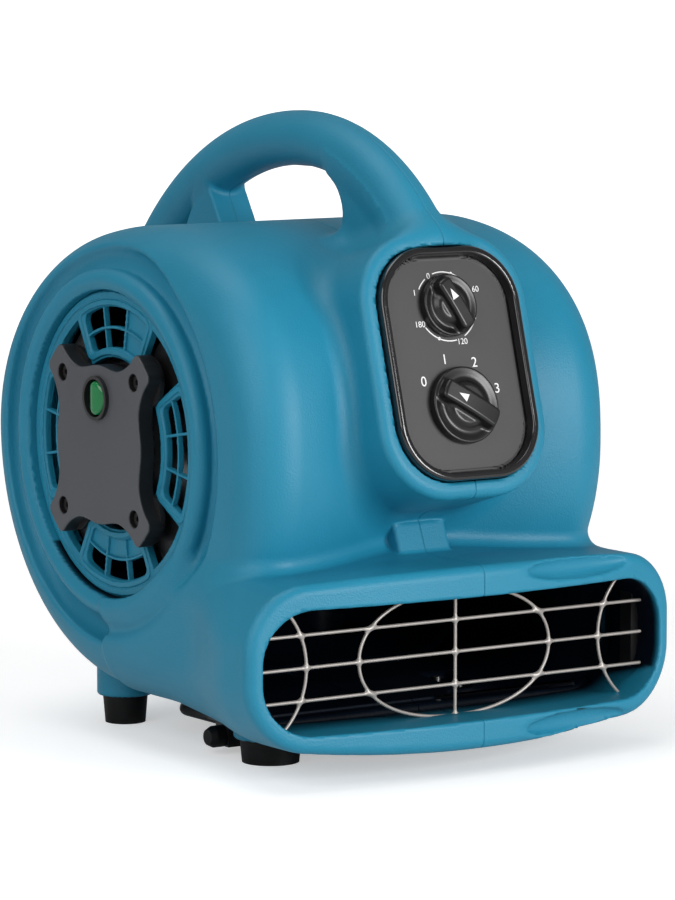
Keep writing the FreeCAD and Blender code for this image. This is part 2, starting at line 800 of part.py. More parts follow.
def sector(sketch, inner, outer, half_angle):
    """An annular sector about the sketch's X axis."""
    angle = math.radians(number(half_angle))
    rims = []
    for radius in (inner, outer):
        whole = Part.Circle(Vector(), Z_AXIS, number(radius))
        rims.append(sketch.addGeometry(Part.ArcOfCircle(whole, -angle, angle), False))
        sketch.addConstraint(Sketcher.Constraint("Coincident", rims[-1], 3, -1, 1))
        pin_point(sketch, rims[-1], 1, f"{radius} * cos({half_angle})", f"-{radius} * sin({half_angle})")
        pin_along(sketch, "DistanceY", rims[-1], 2, f"{radius} * sin({half_angle})")
    for end in (1, 2):
        points = [sketch.getPoint(rim, end) for rim in rims]
        side = sketch.addGeometry(Part.LineSegment(*points), False)
        for own, rim in ((1, rims[0]), (2, rims[1])):
            sketch.addConstraint(Sketcher.Constraint("Coincident", side, own, rim, end))


def slant_bar(sketch, start, stop, angle, half_width):
    """A straight bar from one radius to another at an angle to the sketch's X axis."""
    corners = []
    for radius, side, other in ((start, "-", "+"), (stop, "-", "+"), (stop, "+", "-"), (start, "+", "-")):
        corners.append((f"({radius}) * cos({angle}) {other} ({half_width}) * sin({angle})",
                        f"({radius}) * sin({angle}) {side} ({half_width}) * cos({angle})"))
    outline(sketch, corners)


GRILLE_FACE = "(barrel_half_width - grille_setback)"
inlet_grille("left_inlet_grille", "-" + GRILLE_FACE, -1)
inlet_grille("right_inlet_grille", GRILLE_FACE, 1)

right_cap = new_body("right_hub_cap")
cap_disc = sketch_on(right_cap, "XY")
circle(cap_disc, "hub_hole_radius + cap_flange")
pad(right_cap, cap_disc, "bracket_thickness")
cap_plug = sketch_on(right_cap, "XY")
circle(cap_plug, "hub_hole_radius - seat_gap")
circle(cap_plug, "hub_hole_radius - seat_gap - wall")
pad(right_cap, cap_plug, "grille_thickness", Reversed=True)
on_axis(right_cap, GRILLE_FACE)


# ---------------------------------------------------------------- motor bracket and switch plate
def corner_spots():
    """Formulas of the four screw places round the hub, in a plane across the fan axis."""
    return [(f"{sx} hole_pitch / 2", f"{sy} hole_pitch / 2") for sx in "-+" for sy in "-+"]


BELL_SPOTS = [("bell_screw_reach", "0"), ("-bell_screw_reach", "0"),
              ("0", "bell_screw_reach"), ("0", "-bell_screw_reach")]
bracket = new_body("motor_bracket")
hub_disc = sketch_on(bracket, "XY")
circle(hub_disc, "bracket_cup_radius")
pad(bracket, hub_disc, "bracket_thickness", Reversed=True)
arm = sketch_on(bracket, "XY")
ARM_SIDE = "bracket_arm_width / sqrt(8)"
outline(arm, [("-" + ARM_SIDE, ARM_SIDE), (ARM_SIDE, "-" + ARM_SIDE),
              ("hole_pitch / 2 + " + ARM_SIDE, "hole_pitch / 2 - " + ARM_SIDE),
              ("hole_pitch / 2 - " + ARM_SIDE, "hole_pitch / 2 + " + ARM_SIDE)])
arm_pad = pad(bracket, arm, "bracket_thickness", Reversed=True)
polar(bracket, [arm_pad], "4")
lobe = sketch_on(bracket, "XY")
circle(lobe, "bracket_lobe_radius", "hole_pitch / 2", "hole_pitch / 2")
lobe_pad = pad(bracket, lobe, "bracket_thickness", Reversed=True)
polar(bracket, [lobe_pad], "4")
cup = sketch_on(bracket, "XY")
circle(cup, "bracket_cup_radius")
pad(bracket, cup, "bracket_cup_depth")
well = sketch_on(bracket, "XY", "-bracket_thickness")
circle(well, "bracket_cup_radius - wall")
pocket(bracket, well, "bracket_cup_depth + bracket_thickness - wall", Reversed=True)
bracket_holes = sketch_on(bracket, "XY")
for spot_x, spot_y in corner_spots():
    circle(bracket_holes, "screw_radius + running_gap", spot_x, spot_y)
pocket(bracket, bracket_holes, "bracket_thickness")
motor_holes = sketch_on(bracket, "XY", "bracket_cup_depth")
for spot_x, spot_y in BELL_SPOTS:
    circle(motor_holes, "screw_radius + running_gap", spot_x, spot_y)
pocket(bracket, motor_holes, "wall + 1")
on_axis(bracket, "-" + GRILLE_FACE)

PLATE_BACK = f"(-{GRILLE_FACE} - bracket_thickness)"
plate = new_body("switch_plate")
side = sketch_on(plate, "XY")
rectangle(side, "plate_half_side", "plate_half_side")
pad(plate, side, "plate_thickness", Reversed=True)
bulge = sketch_on(plate, "XY")
circle(bulge, "plate_bulge_radius")
pad(plate, bulge, "plate_thickness", Reversed=True)
for spot_x, spot_y in corner_spots():
    plate_lobe = sketch_on(plate, "XY")
    circle(plate_lobe, "plate_lobe_radius", spot_x, spot_y)
    pad(plate, plate_lobe, "plate_thickness", Reversed=True)
back = sketch_on(plate, "XY")
circle(back, "bracket_cup_radius - wall - 1")
pocket(plate, back, "plate_thickness - wall", Reversed=False)
wells = sketch_on(plate, "XY", "-plate_thickness")
for spot_x, spot_y in corner_spots():
    circle(wells, "hole_radius", spot_x, spot_y)
pocket(plate, wells, "plate_thickness - wall", Reversed=True)
shanks = sketch_on(plate, "XY")
for spot_x, spot_y in corner_spots():
    circle(shanks, "screw_radius + running_gap", spot_x, spot_y)
pocket(plate, shanks, "wall")
rocker_hole = sketch_on(plate, "XY")
circle(rocker_hole, "rocker_hole_radius + running_gap", "-rocker_up")
pocket(plate, rocker_hole, "plate_thickness")
on_axis(plate, PLATE_BACK)


def screw_shape(head_radius, head_height, shank_radius, shank_length):
    """A pan-head screw whose shank runs down from the origin, with a driver recess in its head."""
    head = Part.makeCylinder(head_radius, head_height)
    shank = Part.makeCylinder(shank_radius, shank_length, Vector(), Z_AXIS * -1)
    recess = Part.makeCylinder(head_radius * 0.4, head_height * 0.7, Vector(0, 0, head_height), Z_AXIS * -1)
    return head.fuse(shank).cut(recess).removeSplitter()


def screw_group(label, spots, outward, length, shank_radius=None):
    """Equal screws as one sub-part: their heads sit on the spots and face outward."""
    shape = screw_shape(size["screw_head_radius"], size["screw_head_height"],
                        shank_radius or size["screw_radius"], length)
    turn = FreeCAD.Rotation(Z_AXIS, outward)
    return shaped(label, Part.makeCompound([shape.transformed(FreeCAD.Placement(spot, turn).toMatrix())
                                            for spot in spots]))


grille_x = size["barrel_half_width"] - size["grille_setback"]
plate_back_x = grille_x + size["bracket_thickness"]
half_pitch = size["hole_pitch"] / 2
screw_group("plate_screws",
            [at_fan(-plate_back_x - size["wall"], y, z) for y in (-half_pitch, half_pitch)
             for z in (-half_pitch, half_pitch)], X_AXIS * -1,
            size["wall"] + size["bracket_thickness"] + size["grille_thickness"] + 2)
screw_group("right_cap_screws",
            [at_fan(grille_x, y, z) for y in (-half_pitch, half_pitch) for z in (-half_pitch, half_pitch)],
            X_AXIS, size["grille_thickness"] + 2)

# the round rocker switch in the plate
PLATE_FACE = f"({PLATE_BACK} - plate_thickness)"
rocker_body = revolved("rocker_switch_body", [
    ("rocker_radius + rocker_gap", "-rocker_flange_height"),
    ("rocker_flange_radius", "-rocker_flange_height"), ("rocker_flange_radius", "0"),
    ("rocker_hole_radius", "0"), ("rocker_hole_radius", "rocker_body_depth"), ("0", "rocker_body_depth"),
    ("0", "rocker_pivot_depth + wall"), ("rocker_radius + rocker_gap", "rocker_pivot_depth + wall")])
place(rocker_body, PLATE_FACE, FAN_Y, "axis_z + rocker_up", Y_AXIS, "90")

disc = doc.addObject("Part::Cylinder", "rocker_disc")
disc.setExpression("Radius", sized("rocker_radius"))
disc.setExpression("Height", sized("2 * rocker_barrel_radius"))
disc.Placement = FreeCAD.Placement(Vector(), FreeCAD.Rotation(Y_AXIS, -90))
roller = doc.addObject("Part::Cylinder", "rocker_barrel")
roller.setExpression("Radius", sized("rocker_barrel_radius"))
roller.setExpression("Height", sized("4 * rocker_radius"))
roller.setExpression("Placement.Base.z", sized("-2 * rocker_radius"))
slab = doc.addObject("Part::Box", "rocker_slab")
slab.setExpression("Length", sized("rocker_barrel_radius"))
slab.setExpression("Width", sized("2 * rocker_half_width"))
slab.setExpression("Height", sized("4 * rocker_radius"))
place(slab, "-rocker_barrel_radius", "-rocker_half_width", "-2 * rocker_radius")
rocker = doc.addObject("Part::MultiCommon", "rocker")
rocker.Shapes = [disc, roller, slab]
rocker.Label = "rocker"
place(rocker, f"{PLATE_FACE} + rocker_pivot_depth", FAN_Y, "axis_z + rocker_up", Z_AXIS, "rocker_rest_tilt")

ion_box = new_body("ion_generator")
ion_outline = sketch_on(ion_box, "XY")
rectangle(ion_outline, "ion_half_height", "ion_half_length", "ion_drop")
pad(ion_box, ion_outline, "ion_depth")
on_axis(ion_box, f"-{GRILLE_FACE} + bracket_cup_depth - wall - ion_depth")

# ---------------------------------------------------------------- motor, from its left end to its right
MOTOR_X = f"(-{GRILLE_FACE} + bracket_cup_depth)"
STACK_START = "bell_depth"
STACK_END = "bell_depth + stack_depth"
MOTOR_END = "2 * bell_depth + stack_depth"


def end_bell(label, turned):
    """A cup that closes one end of the motor and carries a bearing."""
    bell = revolved(label, [
        ("bearing_radius", "bell_wall"), ("bearing_radius", "bell_wall + bearing_width"),
        ("bearing_radius + bell_wall", "bell_wall + bearing_width"),
        ("bearing_radius + bell_wall", "bell_wall"),
        ("motor_radius - bell_wall", "bell_wall"), ("motor_radius - bell_wall", "bell_depth"),
        ("motor_radius", "bell_depth"), ("motor_radius", "0"), ("shaft_radius + shaft_clearance", "0"),
        ("shaft_radius + shaft_clearance", "bell_wall")])
    if turned:
        return place(bell, f"{MOTOR_X} + {MOTOR_END}", FAN_Y, FAN_Z, Y_AXIS, "-90")
    taps = sketch_on(bell, "XY")
    for spot_x, spot_y in BELL_SPOTS:
        circle(taps, "screw_radius", spot_x, spot_y)
    pocket(bell, taps, "bell_wall", Reversed=True)
    return on_axis(bell, MOTOR_X)


end_bell("motor_left_bell", False)
end_bell("motor_right_bell", True)
on_axis(ring("motor_stator", "rotor_radius + air_gap", "motor_radius", STACK_START, STACK_END), MOTOR_X)
on_axis(ring("left_coil", "coil_inner", "coil_outer", f"{STACK_START} - coil_height", STACK_START), MOTOR_X)
on_axis(ring("right_coil", "coil_inner", "coil_outer", STACK_END, f"{STACK_END} + coil_height"), MOTOR_X)
on_axis(ring("rotor", "shaft_radius", "rotor_radius", STACK_START, STACK_END), MOTOR_X)
on_axis(ring("left_bearing", "shaft_radius + running_gap", "bearing_radius", "bell_wall",
             "bell_wall + bearing_width"), MOTOR_X)
on_axis(ring("right_bearing", "shaft_radius + running_gap", "bearing_radius",
             f"{MOTOR_END} - bell_wall - bearing_width", f"{MOTOR_END} - bell_wall"), MOTOR_X)
SHAFT_END = "(hub_length / 2 + wheel_plate)"
shaft = new_body("motor_shaft")
shaft_end = sketch_on(shaft, "XY")
circle(shaft_end, "shaft_radius")
pad(shaft, shaft_end, f"{SHAFT_END} - {MOTOR_X} - bell_wall")
on_axis(shaft, f"{MOTOR_X} + bell_wall")
bell_spots = [(size["bell_screw_reach"], 0), (-size["bell_screw_reach"], 0),
              (0, size["bell_screw_reach"]), (0, -size["bell_screw_reach"])]
motor_x = -grille_x + size["bracket_cup_depth"]
screw_group("motor_mount_screws", [at_fan(motor_x - size["wall"], y, z) for y, z in bell_spots], X_AXIS * -1,
            size["wall"] + size["bell_wall"])

# ---------------------------------------------------------------- fan wheel
wheel = revolved("impeller", [
    ("shaft_radius", "-hub_length / 2"), ("hub_radius", "-hub_length / 2"),
    ("hub_radius", "-wheel_plate / 2"), ("wheel_radius", "-wheel_plate / 2"),
    ("wheel_radius", "wheel_plate / 2"), ("hub_radius", "wheel_plate / 2"),
    ("hub_radius", "hub_length / 2"), ("shaft_radius", "hub_length / 2")])
screw_bore = sketch_on(wheel, "XZ")
circle(screw_bore, "screw_radius", "0", "hub_length / 2 - set_screw_inset")
pocket(wheel, screw_bore, "hub_radius + 1")
blade = sketch_on(wheel, "XY")
outline(blade, [("wheel_inner_radius", "-blade_lead - blade_thickness"),
                ("wheel_inner_radius + blade_bend", "-blade_thickness"),
                ("wheel_radius - blade_rim_gap", "blade_curl - blade_thickness"),
                ("wheel_radius - blade_rim_gap", "blade_curl"), ("wheel_inner_radius + blade_bend", "0"),
                ("wheel_inner_radius", "-blade_lead")])
blade_pad = pad(wheel, blade, "2 * wheel_half_length", Midplane=True)
polar(wheel, [blade_pad], "blade_count")
for low in ("-wheel_half_length", "wheel_half_length - wheel_ring"):
    hoop = sketch_on(wheel, "XZ")
    high = low + " + wheel_ring"
    outline(hoop, [("wheel_radius - hoop_width", low), ("wheel_radius", low),
                   ("wheel_radius", high), ("wheel_radius - hoop_width", high)])
    feature(wheel, "Revolution", hoop, ReferenceAxis=(hoop, ["V_Axis"]), Angle="360")
on_axis(wheel, "0")
set_screw = new_body("impeller_set_screw")
set_round = sketch_on(set_screw, "XY")
circle(set_round, "screw_radius")
pad(set_screw, set_round, "hub_radius - shaft_radius")
set_socket = sketch_on(set_screw, "XY", "hub_radius - shaft_radius")
circle(set_socket, "screw_radius / 2")
pocket(set_screw, set_socket, "2")
place(set_screw, "hub_length / 2 - set_screw_inset", "axis_y + shaft_radius", FAN_Z, X_AXIS, "-90")

# ---------------------------------------------------------------- control panel
def panel_body(label, half_width, half_height, corner, depth, up="0", out="0"):
    """A rounded plate of the given depth behind its front face, lying on the panel."""
    body = new_body(label)
    face = sketch_on(body, "XY")
    rounded_rectangle(face, half_width, half_height, corner)
    pad(body, face, depth, Reversed=True)
    return on_panel(body, up, out)


def slot_through(body, half_width, half_height, corner, depth):
    """A rounded opening cut from the body's front face down its own Z."""
    hole = sketch_on(body, "XY")
    rounded_rectangle(hole, half_width, half_height, corner)
    return pocket(body, hole, depth)


bezel = panel_body("panel_bezel", "panel_half_width", "panel_half_height", "panel_corner", "bezel_depth")
slot_through(bezel, "panel_half_width - bezel_width", "panel_half_height - bezel_width",
             "panel_corner - bezel_width", "bezel_depth")
panel = panel_body("control_panel", "panel_half_width - bezel_width - seat_gap",
                   "panel_half_height - bezel_width - seat_gap", "panel_corner - bezel_width - seat_gap",
                   "bezel_depth - panel_recess", out="-panel_recess")
for up in ("timer_up", "speed_up"):
    shaft_hole = sketch_on(panel, "XY")
    circle(shaft_hole, "bushing_radius + seat_gap", "0", up)
    pocket(panel, shaft_hole, "bezel_depth")

box_screws = sketch_on(panel, "XY", "panel_recess - bezel_depth")
for sign in "-+":
    circle(box_screws, "screw_radius", f"{sign} box_screw_x", "box_screw_up")
pocket(panel, box_screws, "box_screw_bite", Reversed=True)

PANEL_BACK = "-bezel_depth"
box = panel_body("switch_box", "switch_box_half_width", "switch_box_half_height", "switch_box_corner",
                 "switch_box_depth", out=PANEL_BACK)
slot_through(box, "switch_box_half_width - switch_box_wall", "switch_box_half_height - switch_box_wall",
             "switch_box_corner - switch_box_wall", "switch_box_depth - switch_box_wall")
lead_hole = sketch_on(box, "XY", "-switch_box_depth")
circle(lead_hole, "gland_bore", "0", "-switch_box_half_height / 2")
for sign in "-+":
    circle(lead_hole, "screw_radius + running_gap", f"{sign} box_screw_x", "box_screw_up")
pocket(box, lead_hole, "switch_box_wall", Reversed=True)
tilt = math.radians(size["panel_tilt"])
inward = Vector(0, math.cos(tilt), -math.sin(tilt))
screw_group("switch_box_screws",
            [panel_point(sign * size["box_screw_x"], size["box_screw_up"],
                         -size["bezel_depth"] - size["switch_box_depth"]) for sign in (-1, 1)],
            inward, size["switch_box_depth"] + size["box_screw_bite"] - 0.3)

PANEL_THICKNESS = "(bezel_depth - panel_recess)"
KNOB_BASE = "(-panel_recess + seat_gap)"
for name, up, knob_radius, body_radius, body_depth in (
        ("timer", "timer_up", "timer_knob_radius", "timer_body_radius", "timer_body_depth"),
        ("speed", "speed_up", "speed_knob_radius", "speed_body_radius", "speed_body_depth")):
    case = revolved(f"{name}_switch_body", [
        ("knob_shaft_radius + running_gap", PANEL_THICKNESS), ("bushing_radius", PANEL_THICKNESS),
        ("bushing_radius", "0"), (body_radius, "0"), (body_radius, f"-{body_depth}"), ("0", f"-{body_depth}"),
        ("0", "-wall"), ("knob_shaft_radius + running_gap", "-wall")])
    on_panel(case, up, PANEL_BACK)
    stem = new_body(f"{name}_shaft")
    stem_end = sketch_on(stem, "XY")
    circle(stem_end, "knob_shaft_radius")
    pad(stem, stem_end, f"knob_height + {PANEL_THICKNESS}")
    on_panel(stem, up, f"{PANEL_BACK} - wall + seat_gap")
    knob = revolved(f"{name}_knob", [
        ("0", "0"), (knob_radius, "0"), (knob_radius, "knob_skirt"),
        (f"{knob_radius} - skirt_step", "knob_skirt + knob_taper"),
        (f"{knob_radius} - skirt_step - knob_taper", "knob_height / 2"), ("0", "knob_height / 2")])
    grip = sketch_on(knob, "XY", "knob_skirt")
    grip_reach = f"({knob_radius} - skirt_step - knob_taper / 2)"
    slant_bar(grip, "-" + grip_reach, grip_reach, f"(90 + {name}_rest_turn)", "grip_width / 2")
    pad(knob, grip, "knob_height - knob_skirt")
    bore = sketch_on(knob, "XY")
    circle(bore, "knob_shaft_radius")
    pocket(knob, bore, "knob_height - knob_roof", Reversed=True)
    on_panel(knob, up, KNOB_BASE)

capacitor = new_body("run_capacitor")
can = sketch_on(capacitor, "XY")
rectangle(can, "capacitor_half_width", "capacitor_half_height")
pad(capacitor, can, "capacitor_length")
on_panel(capacitor, "-switch_box_half_height + switch_box_wall + capacitor_gap + capacitor_half_height",
         f"{PANEL_BACK} - switch_box_depth + switch_box_wall", "capacitor_x")

# ---------------------------------------------------------------- wire grille in the outlet
def bar(start, stop, radius):
    return Part.makeCylinder(radius, (stop - start).Length, start, stop - start)


def rounded_path(points, radius):
    """Straight runs through the points, joined by tangent arcs of one radius."""
    edges = []
    start = points[0]
    for before, corner, after in zip(points, points[1:], points[2:]):
        back = (before - corner).normalize()
        ahead = (after - corner).normalize()
        half_turn = (math.pi - back.getAngle(ahead)) / 2
        cut = radius * math.tan(half_turn)
        middle = (back + ahead).normalize() * (radius / math.cos(half_turn))
        bulge = corner + middle - middle.normalize() * radius
        edges.append(Part.LineSegment(start, corner + back * cut).toShape())
        edges.append(Part.Arc(corner + back * cut, bulge, corner + ahead * cut).toShape())
        start = corner + ahead * cut
    edges.append(Part.LineSegment(start, points[-1]).toShape())
    return Part.Wire(edges)


def oval_wire(middle, half_width, half_height, end_radius):
    """An upright oval across Y of two tight end arcs and two flat ones, all tangent."""
    flat_radius = (half_width ** 2 + half_height ** 2 - 2 * half_width * end_radius) / (
        2 * (half_height - end_radius))
    end_x, flat_z = half_width - end_radius, flat_radius - half_height
    joint = Vector(end_x, 0, flat_z).normalize() * end_radius + X_AXIS * end_x
    corners = [Vector(sx * joint.x, 0, sz * joint.z) for sx, sz in ((1, 1), (-1, 1), (-1, -1), (1, -1))]
    bulges = [Z_AXIS * half_height, X_AXIS * -half_width, Z_AXIS * -half_height, X_AXIS * half_width]
    arcs = [Part.Arc(middle + start, middle + bulge, middle + stop).toShape()
            for start, bulge, stop in zip(corners, bulges, corners[1:] + corners[:1])]
    return Part.Wire(arcs)


def outlet_wires():
    """The welded guard: three level wires, a middle wire, an oval and two side wires."""
    radius = size["wire_radius"]
    middle_z = -(size["mouth_top"] + size["mouth_bottom"]) / 2
    reach_z = (size["mouth_bottom"] - size["mouth_top"]) / 2 - size["seat_gap"] - radius
    level_y = -size["grille_y"]
    upright_y = level_y - 2 * radius + size["weld_sink"]
    half = size["grille_half_width"]
    bend = 5 * radius
    hook = size["hook_length"]
    wires = []
    for step in (-1, 0, 1):
        z = middle_z + step * size["wire_pitch"]
        points = [at_fan(-half, level_y + hook, z), at_fan(-half, level_y, z), at_fan(half, level_y, z),
                  at_fan(half, level_y + hook, z)]
        wires.append(tube(rounded_path(points, bend), radius))
    middle = at_fan(0, upright_y, middle_z)
    wires.append(bar(middle - Z_AXIS * reach_z, middle + Z_AXIS * reach_z, radius))
    wires.append(tube(oval_wire(middle, size["oval_half_width"], reach_z, size["oval_end_radius"]), radius))
    end_z = reach_z - size["side_wire_drop"]
    for sign in (-1, 1):
        bulge = middle + X_AXIS * sign * size["side_wire_x"]
        corner = bulge + X_AXIS * sign * size["side_wire_spread"]
        arc = Part.Arc(corner - Z_AXIS * end_z, bulge, corner + Z_AXIS * end_z)
        wires.append(tube(Part.Wire(arc.toShape()), radius))
    return wires[0].fuse(wires[1:])


shaped("outlet_grille", outlet_wires())

# a strip on each side wall of the mouth holds the three hooked wire ends
strip_half_height = size["wire_pitch"] + size["strip_margin"]
strip_inner = size["grille_half_width"] + size["wire_radius"]
for side, sign in (("left", -1), ("right", 1)):
    block = Part.makeBox(strip_inner, size["strip_depth"], 2 * strip_half_height,
                         at_fan(strip_inner if sign > 0 else -2 * strip_inner,
                                size["strip_start"] - size["grille_y"],
                                -(size["mouth_top"] + size["mouth_bottom"]) / 2 - strip_half_height))
    shaped(side + "_grille_strip", block.common(mouth()))

# ---------------------------------------------------------------- feet
for name, end, middle in foot_spots():
    foot = revolved(name, [
        ("screw_radius + running_gap", "foot_recess"), ("screw_head_radius + 1", "foot_recess"),
        ("screw_head_radius + 1", "0"), (f"{end}_foot_radius - foot_taper", "0"),
        (f"{end}_foot_radius", f"{end}_foot_height"), ("screw_radius + running_gap", f"{end}_foot_height")])
    sign = "-" if middle.x < 0 else ""
    place(foot, sign + "foot_x", f"axis_y - {end}_foot_y", "0")
foot_screws = []
for _, end, middle in foot_spots():
    length = size[end + "_foot_height"] - size["foot_recess"] + size["foot_screw_bite"]
    screw = screw_shape(size["screw_head_radius"], size["screw_head_height"], size["screw_radius"], length)
    turn = FreeCAD.Placement(middle + Z_AXIS * size["foot_recess"], FreeCAD.Rotation(Z_AXIS, Z_AXIS * -1))
    foot_screws.append(screw.transformed(turn.toMatrix()))
shaped("foot_screws", Part.makeCompound(foot_screws))

# ---------------------------------------------------------------- folding stand under the body
stand_y = size["axis_y"] - size["stand_pivot_y"]
stand_end = size["stand_bracket_x"] + size["stand_bracket_width"] / 2 + size["stand_cap_length"]
stand_back = stand_y + size["stand_length"]
stand_half = size["stand_half_width"]
stand_corners = [(-stand_end, stand_y), (-stand_half, stand_y), (-stand_half, stand_back),
                 (stand_half, stand_back), (stand_half, stand_y), (stand_end, stand_y)]
stand_path = rounded_path([Vector(x, y, size["stand_height"]) for x, y in stand_corners], size["stand_bend"])
shaped("kickstand", tube(stand_path, size["stand_radius"]))
for side, sign in (("left", "-"), ("right", "")):
    cap = revolved(side + "_stand_cap", [
        ("stand_radius", "0"), ("stand_cap_radius", "0"),
        ("stand_cap_radius", "stand_cap_length - stand_cap_round"),
        ("stand_cap_radius - stand_cap_round", "stand_cap_length + stand_cap_round"),
        ("0", "stand_cap_length + stand_cap_round"),
        ("0", "stand_cap_length - seat_gap"), ("stand_radius", "stand_cap_length - seat_gap")])
    place(cap, f"{sign}(stand_bracket_x + stand_bracket_width / 2 + seat_gap)", "axis_y - stand_pivot_y",
          "stand_height", Y_AXIS, f"{sign or '+'} 90")
    saddle = new_body(side + "_stand_bracket")
    profile = sketch_on(saddle, "YZ")
    neck = "(stand_radius + stand_neck_margin)"
    outline(profile, [(f"-{neck}", "stand_height - stand_radius - stand_bracket_wall"),
                      (neck, "stand_height - stand_radius - stand_bracket_wall"),
                      (neck, "stand_bracket_top - stand_ear"),
                      ("stand_bracket_reach", "stand_bracket_top - stand_ear"),
                      ("stand_bracket_reach", "stand_bracket_top"),
                      ("-stand_bracket_reach", "stand_bracket_top"),
                      ("-stand_bracket_reach", "stand_bracket_top - stand_ear"),
                      (f"-{neck}", "stand_bracket_top - stand_ear")])
    pad(saddle, profile, "stand_bracket_width", Midplane=True)
    pin_bore = sketch_on(saddle, "YZ", "stand_bracket_width")
    circle(pin_bore, "stand_radius + running_gap", "0", "stand_height")
    pocket(saddle, pin_bore, "2 * stand_bracket_width")
    ear_holes = sketch_on(saddle, "XY", "stand_bracket_top")
    for step in "-+":
        circle(ear_holes, "screw_radius + running_gap", "0", f"{step} stand_ear_screw")
    pocket(saddle, ear_holes, "stand_ear")
    place(saddle, f"{sign} stand_bracket_x", "axis_y - stand_pivot_y")
screw_group("bracket_screws",
            [Vector(sign * size["stand_bracket_x"], stand_y + step * size["stand_ear_screw"],
                    size["stand_bracket_top"] - size["stand_ear"]) for sign in (-1, 1) for step in (-1, 1)],
            Z_AXIS * -1, size["stand_ear"] + 2 * size["wall"] - 1)

# ---------------------------------------------------------------- seam screws and the cord inlet
screw_group("housing_screws", [spot + X_AXIS * size["seam_screw_grip"] for spot in tower_spots()],
            X_AXIS, size["seam_screw_length"])
gland = revolved("cord_gland", [
    ("gland_bore", "-3 * wall"), ("gland_radius - running_gap", "-3 * wall"),
    ("gland_radius - running_gap", "0"),
    ("gland_radius + wall", "0"), ("gland_radius + wall", "wall"), ("gland_bore", "wall")])
gland_spot, gland_outward = gland_frame()
gland.Placement = FreeCAD.Placement(gland_spot, FreeCAD.Rotation(Z_AXIS, gland_outward))

# ---------------------------------------------------------------- check every object, then write
doc.recompute()
for item in doc.Objects:
    if "Invalid" in item.State or "Error" in item.State:
        raise RuntimeError(f"{item.Label} failed: {item.State}")


def is_sub_part(item):
    """Bodies, free shapes and finished booleans; not the sketches and features inside them."""
    if not hasattr(item, "Shape") or item.isDerivedFrom("Sketcher::SketchObject"):
        return False
    owners = [owner for owner in item.InList if owner.isDerivedFrom("PartDesign::Body")
              or owner.isDerivedFrom("Part::MultiCommon")]
    return not owners and item.TypeId in ("PartDesign::Body", "Part::Feature", "Part::MultiCommon")


sub_parts = [item for item in doc.Objects if is_sub_part(item)]
for item in sub_parts:
    if item.Shape.isNull() or not item.Shape.isValid() or not item.Shape.Solids:
        raise RuntimeError(item.Label + " has no valid solid")
os.makedirs("parts", exist_ok=True)
for item in sub_parts:
    item.Shape.exportStep(f"parts/{item.Label}.step")
print(len(sub_parts), "sub-parts written")
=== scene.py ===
import json
import math

import bmesh
import bpy
import numpy as np
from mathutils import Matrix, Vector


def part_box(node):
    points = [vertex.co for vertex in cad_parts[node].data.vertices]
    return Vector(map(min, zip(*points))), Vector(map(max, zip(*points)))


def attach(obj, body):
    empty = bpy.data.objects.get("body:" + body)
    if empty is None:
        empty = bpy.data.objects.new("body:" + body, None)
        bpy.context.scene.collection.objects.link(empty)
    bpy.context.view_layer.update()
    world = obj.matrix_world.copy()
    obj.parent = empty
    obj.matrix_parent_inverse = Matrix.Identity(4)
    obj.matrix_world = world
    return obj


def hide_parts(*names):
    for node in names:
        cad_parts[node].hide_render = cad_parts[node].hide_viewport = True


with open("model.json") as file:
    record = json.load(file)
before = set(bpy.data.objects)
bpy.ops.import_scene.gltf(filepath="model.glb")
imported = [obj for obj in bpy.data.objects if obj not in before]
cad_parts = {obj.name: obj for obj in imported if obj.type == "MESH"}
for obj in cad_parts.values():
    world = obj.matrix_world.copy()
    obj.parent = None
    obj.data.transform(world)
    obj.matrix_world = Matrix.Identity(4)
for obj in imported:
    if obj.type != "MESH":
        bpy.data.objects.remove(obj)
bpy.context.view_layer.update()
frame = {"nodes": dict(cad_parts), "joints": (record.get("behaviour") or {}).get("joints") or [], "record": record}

import openvdb
from mathutils import Matrix, Vector

# A small centrifugal carpet blower.  Lengths are in millimetres, and become metres where a mesh is made.
# The moulded pieces are signed distance fields: each is negative inside the piece and zero on its surface.
# Their places are counted from the fan axis: x to the right, f forward to the outlet, h up.
MM = 0.001
joints = {joint["name"]: joint for joint in frame["joints"]}
FAN_Y, FAN_Z = (value / MM for value in joints["fan_spin"]["pos_m"][1:])


def fan_point(x, f, h):
    """A place counted from the fan axis, in metres in the object's frame."""
    return Vector((x, FAN_Y - f, FAN_Z + h)) * MM


# ---------------------------------------------------------------- distance fields
def blend(a, b, reach):
    """Union of two fields, softened where they are closer than reach."""
    share = np.clip(0.5 + 0.5 * (b - a) / reach, 0, 1)
    return b + (a - b) * share - reach * share * (1 - share)


def fillet(a, b, radius):
    """Union of two fields with a round fillet in the corner between them."""
    corner = np.hypot(np.maximum(radius - a, 0), np.maximum(radius - b, 0))
    return np.maximum(np.minimum(a, b), radius) - corner


def rounded(a, b, radius):
    """What two fields share, with the edge between them rounded over."""
    inner = np.minimum(np.maximum(a, b) + radius, 0)
    return inner + np.hypot(np.maximum(a + radius, 0), np.maximum(b + radius, 0)) - radius


def carve(body, tool, radius):
    """The body less the tool, with a rounded rim."""
    return rounded(body, -tool, radius)


def plate_outline(u, v, half_u, half_v, corner):
    """A rounded rectangle in the plane."""
    across, along = np.abs(u) - half_u + corner, np.abs(v) - half_v + corner
    outside = np.hypot(np.maximum(across, 0), np.maximum(along, 0))
    return outside + np.minimum(np.maximum(across, along), 0) - corner


